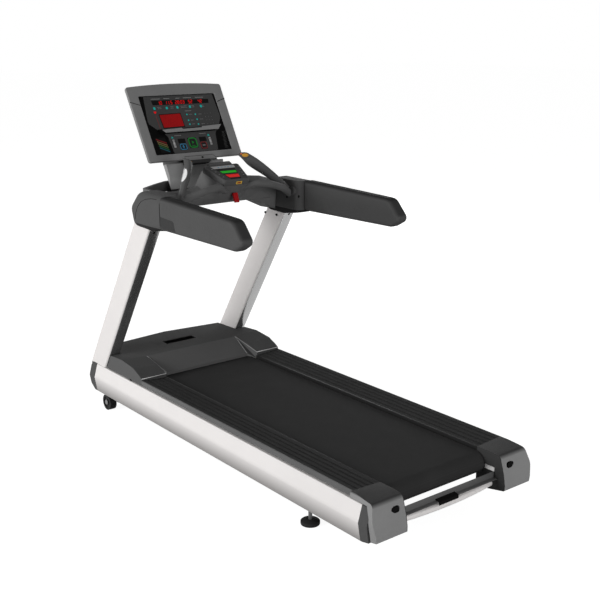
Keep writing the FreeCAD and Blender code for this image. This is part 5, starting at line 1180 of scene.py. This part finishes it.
    def build_frame(self) -> None:
        """Scribe the frame's two split lines and raise the tab at its lower edge, with the sensor eye."""
        runs = [stroke((-265, 306), (-216, 288), 3.2), stroke((216, 288), (265, 304), 3.2)]
        self.printed("frame_seams", runs, Palette.seam, 0.0004, level=-0.0003)
        tab = [(-68, 13), (90, 13), (108, -7), (-52, -7)]
        self.printed("monitor_foot_face", [tab], Palette.bezel, 0.0008, level=0.0)
        rim = [stroke(one, two, 1.6) for one, two in zip(tab[:2], tab[1:3])]
        self.printed("monitor_foot_rim", rim, Palette.seam, 0.0010, level=0.0)
        self.printed("sensor_eye", [oval(12, 9, (29, 3), 16)], Palette.film, 0.0013, level=0.0)

    def build(self) -> None:
        """Build every piece of the monitor's face."""
        self.build_face()
        self.build_lamps()
        self.build_print()
        self.build_ledge()
        self.build_keys()
        self.build_frame()


@dataclass
class SmallConsole(PrintedFace):
    """The small keypad console in front of the monitor."""

    tilt: float = math.radians(21.5)
    film_start: float = 0.007
    film_top: float = 0.0
    film_under: float = -0.0012
    marker_spot: Point3 = (0.012, 0.0062, 0.011)

    def film_corner(self) -> Vector:
        """Return the lowest corner of the keypad film's CAD box."""
        low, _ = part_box("console_keypad")
        return low

    def build_marker(self) -> None:
        """Set the yellow marker with its red core on the console's rear face."""
        low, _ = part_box("console_body")
        across, ahead, up = self.marker_spot
        rear = turned_to_rear((across, low.y + ahead, low.z + up), 90 + math.degrees(self.tilt))
        for name, outline, levels, finish in (
                ("console_marker", rounded(32, 14, 1.5), (0.0, 0.0015), Palette.marker),
                # The marker's red core wears a glowing finish: a painted glow on a printed sticker.
                ("console_marker_core", rounded(20, 7, 1), (0.0012, 0.0019), Palette.ring_red)):
            shape = bmesh.new()
            plate(shape, in_metres(outline), *levels, rear)
            self.shop.mesh(name, shape, finish)

    def build(self) -> None:
        """Lay the silver strip, the screen with its two lit lines, the key labels and the marker."""
        self.printed("console_strip", [[(-64, 135), (66, 135), (60, 112), (-58, 112)]], Palette.silver)
        edge = [(-91, 131), (-65, 8), (-36, 4), (38, 4), (65, 8), (91, 131)]
        rim = [stroke(one, two, 1.8) for one, two in zip(edge, edge[1:])]
        self.printed("console_rim", rim, Palette.list_ink, 0.0002)
        spots = [stroke((u, 122), (u + 8, 124), 3) for u in (-30, -12, 6, 24, 42)]
        self.printed("console_strip_marks", spots, Palette.ring_blue, 0.0005)
        self.printed("console_screen", [[(-52, 109), (53, 107), (27, 10), (-29, 10)]], Palette.pane)
        self.printed("console_green_band", [[(-42, 87), (44, 85), (39, 66), (-37, 68)]], Palette.lamp_green,
                     0.0001)
        self.printed("console_red_band", [[(-34, 53), (37, 51), (29, 24), (-27, 26)]], Palette.band_red,
                     0.0001)
        left, right = ((-70, 110), (-67, 85), (-62, 59), (-56, 34)), ((81, 115), (73, 87), (64, 60), (58, 37))
        marks = [stroke((u - 4, v), (u + 4, v), 2.4) for u, v in left + right]
        self.printed("console_key_marks", marks, Palette.ink, 0.0009)
        self.build_marker()


@dataclass
class ArmRests:
    """The two long foam arm rests, skinned over the frame's plain pads."""

    shop: Workshop
    cell: float = 0.0045
    crown: float = 0.0008
    fill: float = 1.0
    weld_reach: float = 0.00001
    melt_share: float = 0.5
    melt_rounds: int = 4

    def skin(self, side: str) -> None:
        """Shape one arm rest's foam.

        Args:
            side: left or right.
        """
        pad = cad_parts[f"arm_{side}"]
        shape = bmesh.new()
        shape.from_mesh(pad.data)
        bmesh.ops.remove_doubles(shape, verts=shape.verts, dist=self.weld_reach)
        foam = self.shop.mesh(f"arm_rest_{side}", shape, Palette.foam, smooth=True)
        cells = foam.modifiers.new("even_cells", "REMESH")
        cells.mode = "VOXEL"
        cells.voxel_size = self.cell
        cells.use_smooth_shade = True
        melt = foam.modifiers.new("melted_corners", "SMOOTH")
        melt.factor = self.melt_share
        melt.iterations = self.melt_rounds
        puff = foam.modifiers.new("crown", "DISPLACE")
        puff.strength = self.crown
        puff.mid_level = 0.0
        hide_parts(f"arm_{side}")

    def build(self) -> None:
        """Skin both arm rests."""
        for side in ("left", "right"):
            self.skin(side)


@dataclass
class Grips:
    """The lamp beside the amber key on each grip's slanted end face."""

    shop: Workshop
    lean: Vector = field(default_factory=lambda: Vector((-0.48, -0.08, 0.87)).normalized())
    ahead: float = 0.0335
    out: float = 0.0032
    size: Point2 = (0.010, 0.008)
    levels: Point2 = (-0.004, 0.0008)

    def build(self) -> None:
        """Set an orange lamp ahead of the key on both end faces."""
        low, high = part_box("grip_rocker_right")
        middle = (low + high) / 2
        for side, word in SIDES:
            normal = Vector((side * self.lean.x, self.lean.y, self.lean.z))
            along = Vector((1.0, 0.0, 0.0)).cross(normal).normalized() * -1.0
            turn = Matrix((along, normal.cross(along), normal)).transposed().to_4x4()
            centre = Vector((side * middle.x, middle.y, middle.z)) + along * self.ahead + normal * self.out
            shape = bmesh.new()
            plate(shape, oval(*self.size, steps=14), *self.levels, Matrix.Translation(centre) @ turn)
            self.shop.mesh(f"grip_lamp_{word}", shape, Palette.orange)


@dataclass
class Hood:
    """Painted highlights along the edges of the hood's shoulders and the lip over the belt, and its side
    notches.
    """

    shop: Workshop
    thickness: float = 0.0016
    crest: Point3 = (0.2640, 0.7400, 0.3130)
    foot: Point3 = (0.2400, 0.5980, 0.2610)
    lip_in: Point3 = (0.2690, 0.5520, 0.2740)
    lip_out: Point3 = (0.4040, 0.5520, 0.2740)
    notch: Point3 = (0.4050, 0.6570, 0.2420)
    notch_size: Point2 = (0.007, 0.016)
    notch_radius: float = 0.002
    notch_levels: Point2 = (-0.002, 0.0006)

    def edge(self, name: str, points: Sequence[Point3], finish: Finish) -> None:
        """Lay a thin round bead along a run of points on both sides of the hood.

        Args:
            name: The beads' name, without the side.
            points: The points on the right side.
            finish: The beads' finish.
        """
        for side, word in SIDES:
            shape = bmesh.new()
            bead(shape, [Vector((side * x, y, z)) for x, y, z in points], self.thickness)
            self.shop.mesh(f"{name}_{word}", shape, finish, smooth=True)

    def build(self) -> None:
        """Lay the painted highlight beads along the edges and set the notches."""
        self.edge("hood_lip_edge", (self.lip_in, self.lip_out), Palette.edge_highlight)
        self.edge("hood_valley_edge", (self.crest, self.lip_in), Palette.edge_soft_highlight)
        self.edge("hood_facet_edge", (self.crest, self.foot), Palette.edge_soft_highlight)
        x, y, z = self.notch
        for side, word in SIDES:
            shape = bmesh.new()
            place = Matrix.Translation((side * x, y, z)) @ Matrix.Rotation(math.radians(90 * side), 4, "Y")
            # Each notch is a near-black plate: painted shade in the notch.
            plate(shape, rounded(*self.notch_size, self.notch_radius), *self.notch_levels, place)
            self.shop.mesh(f"hood_notch_{word}", shape, Palette.seam)


@dataclass
class RearEnd:
    """The black name blank on the rear bar and the screw slots of the rear caps."""

    shop: Workshop
    blank_half: float = 0.052
    blank_front: float = -0.001
    skirt_reach: Point2 = (-0.010, 0.004)
    blank_shift: float = -0.012
    blank_thickness: float = 0.0022
    blank_up: float = 0.0032
    blank_slope: float = 12.0
    skirt_back: float = 0.0004
    slot: Point2 = (0.034, 0.021)
    slot_levels: Point2 = (-0.002, 0.0016)
    slot_spot: Point2 = (0.313, 0.214)
    probe: float = 1.5

    def build_blank(self) -> None:
        """Fit the blank over the rear bar's top and rear face."""
        low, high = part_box("rear_bar")
        depth = high.y - low.y
        half = self.blank_half
        shape = bmesh.new()
        top = turned_to_rear((self.blank_shift, low.y, low.z + self.blank_up), self.blank_slope)
        start = self.blank_front
        plate(shape, [(-half, start), (half, start), (half, depth), (-half, depth)], 0.0,
              self.blank_thickness, top)
        skirt = turned_to_rear((self.blank_shift, low.y - self.skirt_back, low.z))
        under, over = self.skirt_reach
        plate(shape, [(-half, under), (half, under), (half, over), (-half, over)], 0.0,
              self.blank_thickness, skirt)
        self.shop.mesh("rear_bar_blank_plate", shape, Palette.seam)

    def build_slots(self) -> None:
        """Set a dark slot on the outer face of each rear cap."""
        x, z = self.slot_spot
        for side, word in SIDES:
            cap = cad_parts[f"rear_cap_{word}"]
            start = Vector((side * (x + self.slot[0]), -self.probe, z))
            _, spot, _, _ = cap.ray_cast(start, Vector((0.0, 1.0, 0.0)))
            shape = bmesh.new()
            # The slot is a near-black plate: painted shade in the slot.
            plate(shape, rounded(*self.slot, self.slot[1] / 2 - 0.0001), *self.slot_levels,
                  turned_to_rear((side * x, spot.y, z)))
            self.shop.mesh(f"cap_screw_slot_{word}", shape, Palette.seam)

    def build(self) -> None:
        """Fit the blank and both slots."""
        self.build_blank()
        self.build_slots()


@dataclass
class Shoulders:
    """The curved seam on each shoulder's outer side, and the boss and bolts on its inner side."""

    shop: Workshop
    seam_points: tuple[Point2, ...] = ((0.500, 1.050), (0.492, 1.082), (0.474, 1.110), (0.446, 1.134),
                                       (0.410, 1.150), (0.366, 1.158), (0.320, 1.160))
    seam_width: float = 0.0011
    boss: Point2 = (0.329, 1.125)
    boss_profile: tuple[Point2, ...] = ((0.021, -0.004), (0.021, 0.004), (0.017, 0.007), (0.004, 0.0075))
    bolts: tuple[Point2, ...] = ((0.376, 1.089), (0.300, 1.100))
    bolt_profile: tuple[Point2, ...] = ((0.0055, -0.003), (0.0055, 0.0012))
    probe: float = 0.7

    def spot(self, side: int, point: Point2, outward: int) -> Vector | None:
        """Return the shoulder's surface at a point of its side, or None beside it.

        Args:
            side: 1 for the right shoulder, -1 for the left one.
            point: The point, along the machine and up.
            outward: 1 for the outer face, -1 for the inner one.

        Returns:
            The point on the surface.
        """
        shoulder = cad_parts["shoulder_right" if side > 0 else "shoulder_left"]
        start = Vector((side * (self.probe if outward > 0 else 0.0), *point))
        found, place, _, _ = shoulder.ray_cast(start, Vector((-side * outward, 0.0, 0.0)))
        return place if found else None

    def build_seam(self, side: int, word: str) -> None:
        """Lay the seam on one shoulder's outer face.

        Args:
            side: 1 for the right one, -1 for the left one.
            word: The side's name, right or left.
        """
        seen = [self.spot(side, point, 1) for point in self.seam_points]
        shape = bmesh.new()
        bead(shape, [place for place in seen if place is not None], self.seam_width)
        self.shop.mesh(f"shoulder_seam_{word}", shape, Palette.seam, smooth=True)

    def build_boss(self, side: int, word: str) -> None:
        """Set the boss and the bolts on one shoulder's inner face.

        Args:
            side: 1 for the right one, -1 for the left one.
            word: The side's name, right or left.
        """
        inner = self.spot(side, self.boss, -1)
        if inner is None:
            LOG.warning("no inner face for the boss on the %s shoulder", word)
            return
        inward = Vector((-side, 0.0, 0.0))
        shape = bmesh.new()
        disc(shape, self.boss_profile, inner, inward)
        self.shop.mesh(f"shoulder_boss_{word}", shape, Palette.shoulder, smooth=True)
        shape = bmesh.new()
        for point in self.bolts:
            place = self.spot(side, point, -1)
            if place is not None:
                disc(shape, self.bolt_profile, place, inward, 16)
        self.shop.mesh(f"shoulder_bolts_{word}", shape, Palette.seam)

    def build(self) -> None:
        """Lay both seams and set both bosses."""
        for side, word in SIDES:
            self.build_seam(side, word)
            self.build_boss(side, word)


@dataclass
class Uprights:
    """The bolt heads' sockets and the bolt heads on the uprights' rear strips."""

    shop: Workshop
    lean: float = 0.6334
    depth: float = 0.144
    socket_profile: tuple[Point2, ...] = ((0.0032, -0.0004), (0.0032, 0.0003))
    bolt_shares: Point2 = (0.32, 0.96)
    bolt_drop: float = 0.0207
    head_rise: float = 0.0031
    strip_bolt: Point2 = (0.380, 0.993)
    strip_bolt_profile: tuple[Point2, ...] = ((0.0055, -0.002), (0.0055, 0.001))
    probe: float = 1.0

    def build_sockets(self, side: int, word: str) -> None:
        """Add a dark hexagon socket to each bolt head on one upright's inner face.

        Args:
            side: 1 for the right one, -1 for the left one.
            word: The side's name, right or left.
        """
        low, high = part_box("upright_right")
        bolt_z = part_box("shoulder_right")[0].z - self.bolt_drop
        rear = high.y - self.depth - self.lean * (bolt_z - low.z)
        shape = bmesh.new()
        for share in self.bolt_shares:
            centre = Vector((side * (low.x - self.head_rise), rear + self.depth * share, bolt_z))
            # Each socket is a near-black disc: painted shade in the hex recess.
            disc(shape, self.socket_profile, centre, Vector((-side, 0, 0)), 6)
        self.shop.mesh(f"bolt_sockets_{word}", shape, Palette.seam)

    def build_strip_bolt(self, side: int, word: str) -> None:
        """Set a bolt head on one upright's rear strip.

        Args:
            side: 1 for the right one, -1 for the left one.
            word: The side's name, right or left.
        """
        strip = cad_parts["upright_covers"]
        start = Vector((side * self.strip_bolt[0], -self.probe, self.strip_bolt[1]))
        found, place, normal, _ = strip.ray_cast(start, Vector((0.0, 1.0, 0.0)))
        if not found:
            LOG.warning("no strip for the bolt head on the %s upright", word)
            return
        shape = bmesh.new()
        disc(shape, self.strip_bolt_profile, place, normal, 16)
        self.shop.mesh(f"strip_bolt_{word}", shape, Palette.seam)

    def build(self) -> None:
        """Dress both uprights."""
        for side, word in SIDES:
            self.build_sockets(side, word)
            self.build_strip_bolt(side, word)


@dataclass
class Running:
    """The transport wheels' hub caps and the levelling feet's soles."""

    shop: Workshop
    hub_sink: float = 0.003
    hub_profile: tuple[Point2, ...] = ((0.013, 0.0), (0.013, 0.004), (0.0105, 0.0062), (0.004, 0.0064))
    sole_up: float = 0.0002

    def wheel(self, side: str) -> None:
        """Add a bright hub cap to a transport wheel.

        Args:
            side: left or right.
        """
        low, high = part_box(f"front_wheel_{side}")
        out = 1 if side == "right" else -1
        x = high.x if out > 0 else low.x
        centre = Vector((x - out * self.hub_sink, (low.y + high.y) / 2, (low.z + high.z) / 2))
        shape = bmesh.new()
        disc(shape, self.hub_profile, centre, Vector((out, 0, 0)))
        self.shop.mesh(f"wheel_hub_{side}", shape, Palette.hub, f"wheel_{side}", smooth=True)

    def pad(self, side: str) -> None:
        """Add the rubber sole and its rolled rim to a levelling foot.

        Args:
            side: left or right.
        """
        low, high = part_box(f"leveler_{side}")
        centre = Vector(((low.x + high.x) / 2, (low.y + high.y) / 2, self.sole_up))
        radius = (high.x - low.x) / 2
        shape = bmesh.new()
        profile = ((radius, 0.0), (radius + 0.0012, 0.003), (radius + 0.0012, 0.0125),
                   (radius - 0.002, 0.0155), (radius * 0.5, 0.0185), (0.0152, 0.0205))
        disc(shape, profile, centre, Vector((0, 0, 1)), 48)
        self.shop.mesh(f"leveler_sole_{side}", shape, Palette.pad_foot, f"leveler_{side}", smooth=True)

    def build(self) -> None:
        """Dress both wheels and both feet."""
        for side in ("left", "right"):
            self.wheel(side)
            self.pad(side)


# ---------------------------------------------------------------- the studio

@dataclass(frozen=True)
class Lamp:
    """A square soft light: where it hangs, the length of its side and its power in watts."""

    name: str
    spot: Point3
    size: float
    power: float


@dataclass
class Studio:
    """Floor, light and camera."""

    lens: float = 60.664
    sensor: float = 36.0
    eye: Point3 = (-2.6257, -3.4383, 1.8695)
    pitch: float = 15.0105
    yaw: float = 38.5177
    sight: float = 100.0
    floor_half: float = 40.0
    floor_tone: float = 0.3
    floor_roughness: float = 0.9
    floor_lift: float = 0.93
    sky_strength: float = 0.22
    seen_strength: float = 1.0
    aim: Point3 = (0.0, 0.0, 0.6)
    lamps: tuple[Lamp, ...] = (Lamp("key_light", (-7.7, 1.2, 2.0), 3.4, 520),
                               Lamp("rear_light", (-0.2, -7.2, 1.2), 3.2, 235),
                               Lamp("fill_light", (5.8, 4.2, 1.7), 3.2, 140))

    @staticmethod
    def seen_directly(tree: bpy.types.NodeTree) -> Socket:
        """Return 1 for rays from the camera and for those that metal or glass throws on.

        Args:
            tree: The node tree that asks.

        Returns:
            The socket that carries the answer.
        """
        path = tree.nodes.new("ShaderNodeLightPath")
        total = path.outputs["Is Camera Ray"]
        for name in ("Is Glossy Ray", "Is Transmission Ray"):
            either = tree.nodes.new("ShaderNodeMath")
            either.operation = "MAXIMUM"
            tree.links.new(total, either.inputs[0])
            tree.links.new(path.outputs[name], either.inputs[1])
            total = either.outputs[0]
        return total

    def choose(self, tree: bpy.types.NodeTree, hidden: Socket, seen: Socket, end: Socket) -> None:
        """Wire one shader for the rays that are seen directly and another for the rest.

        Args:
            tree: The node tree.
            hidden: The shader of the other rays.
            seen: The shader of the rays seen directly.
            end: The socket that takes the choice.
        """
        pick = tree.nodes.new("ShaderNodeMixShader")
        tree.links.new(self.seen_directly(tree), pick.inputs["Fac"])
        tree.links.new(hidden, pick.inputs[1])
        tree.links.new(seen, pick.inputs[2])
        tree.links.new(pick.outputs[0], end)

    def floor_paint(self) -> bpy.types.Material:
        """Make the floor's pale paint, which glows a little where it is seen directly.

        Returns:
            The material.
        """
        made = bpy.data.materials.new("floor_paint")
        made.use_nodes = True
        tree = made.node_tree
        shader = tree.nodes["Principled BSDF"]
        shader.inputs["Base Color"].default_value = (*grey(self.floor_tone), 1.0)
        shader.inputs["Roughness"].default_value = self.floor_roughness
        shader.inputs["Specular IOR Level"].default_value = 0.0
        lift = tree.nodes.new("ShaderNodeEmission")
        lift.inputs["Color"].default_value = WHITE
        lift.inputs["Strength"].default_value = self.floor_lift
        total = tree.nodes.new("ShaderNodeAddShader")
        tree.links.new(shader.outputs[0], total.inputs[0])
        tree.links.new(lift.outputs[0], total.inputs[1])
        self.choose(tree, shader.outputs[0], total.outputs[0], tree.nodes["Material Output"].inputs["Surface"])
        return made

    def floor(self) -> None:
        """Lay a plain pale floor that keeps the shadow and meets the white background."""
        shape = bmesh.new()
        size = self.floor_half
        corners = [shape.verts.new((x * size, y * size, 0.0)) for x, y in ((-1, -1), (1, -1), (1, 1), (-1, 1))]
        shape.faces.new(corners)
        data = bpy.data.meshes.new("floor")
        shape.to_mesh(data)
        shape.free()
        ground = bpy.data.objects.new("floor", data)
        bpy.context.scene.collection.objects.link(ground)
        data.materials.append(self.floor_paint())

    def world(self) -> None:
        """Light the object evenly from a soft sky and show it white to the camera."""
        world = bpy.data.worlds.new("studio")
        bpy.context.scene.world = world
        world.use_nodes = True
        tree = world.node_tree
        sky = tree.nodes["Background"]
        seen = tree.nodes.new("ShaderNodeBackground")
        for shader, strength in ((sky, self.sky_strength), (seen, self.seen_strength)):
            shader.inputs["Color"].default_value = WHITE
            shader.inputs["Strength"].default_value = strength
        self.choose(tree, sky.outputs[0], seen.outputs[0], tree.nodes["World Output"].inputs["Surface"])

    def lights(self) -> None:
        """Hang the key light low at the machine's left, and weaker ones behind and in front."""
        aim = Vector(self.aim)
        for lamp in self.lamps:
            data = bpy.data.lights.new(lamp.name, "AREA")
            data.shape = "SQUARE"
            data.size = lamp.size
            data.energy = lamp.power
            light = bpy.data.objects.new(lamp.name, data)
            light.location = lamp.spot
            light.rotation_euler = (aim - Vector(lamp.spot)).to_track_quat("-Z", "Y").to_euler()
            bpy.context.scene.collection.objects.link(light)

    def camera(self) -> None:
        """Stand the camera behind the machine's left side, at the height of the eyes."""
        data = bpy.data.cameras.new("camera")
        data.lens = self.lens
        data.sensor_width = self.sensor
        data.clip_end = self.sight
        camera = bpy.data.objects.new("camera", data)
        camera.location = self.eye
        camera.rotation_euler = (math.radians(90 - self.pitch), 0.0, -math.radians(self.yaw))
        bpy.context.scene.collection.objects.link(camera)
        bpy.context.scene.camera = camera

    def build(self) -> None:
        """Set the whole studio up."""
        bpy.context.scene.view_settings.view_transform = "Standard"
        self.floor()
        self.world()
        self.lights()
        self.camera()


# ---------------------------------------------------------------- the run

def dress_nodes() -> None:
    """Give every CAD node its finish."""
    finish_of = {name: finish for finish, names in NODE_FINISHES.items() for name in names}
    for name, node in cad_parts.items():
        finish = finish_of[name]
        node.data.materials.clear()
        node.data.materials.append(finish.material())
        LOG.info("node %s wears %s", name, finish.name)


def main() -> None:
    """Dress the frame, build the fittings and set up the studio."""
    logging.basicConfig(level=logging.INFO, format="%(name)s: %(message)s")
    shop = Workshop()
    dress_nodes()
    SoftEdges().dress()
    Monitor(shop).build()
    SmallConsole(shop).build()
    ArmRests(shop).build()
    Grips(shop).build()
    Shoulders(shop).build()
    Uprights(shop).build()
    Hood(shop).build()
    RearEnd(shop).build()
    Running(shop).build()
    Studio().build()
    for name in shop.made:
        LOG.info("piece %s", name)


if __name__ == "__main__":
    main()
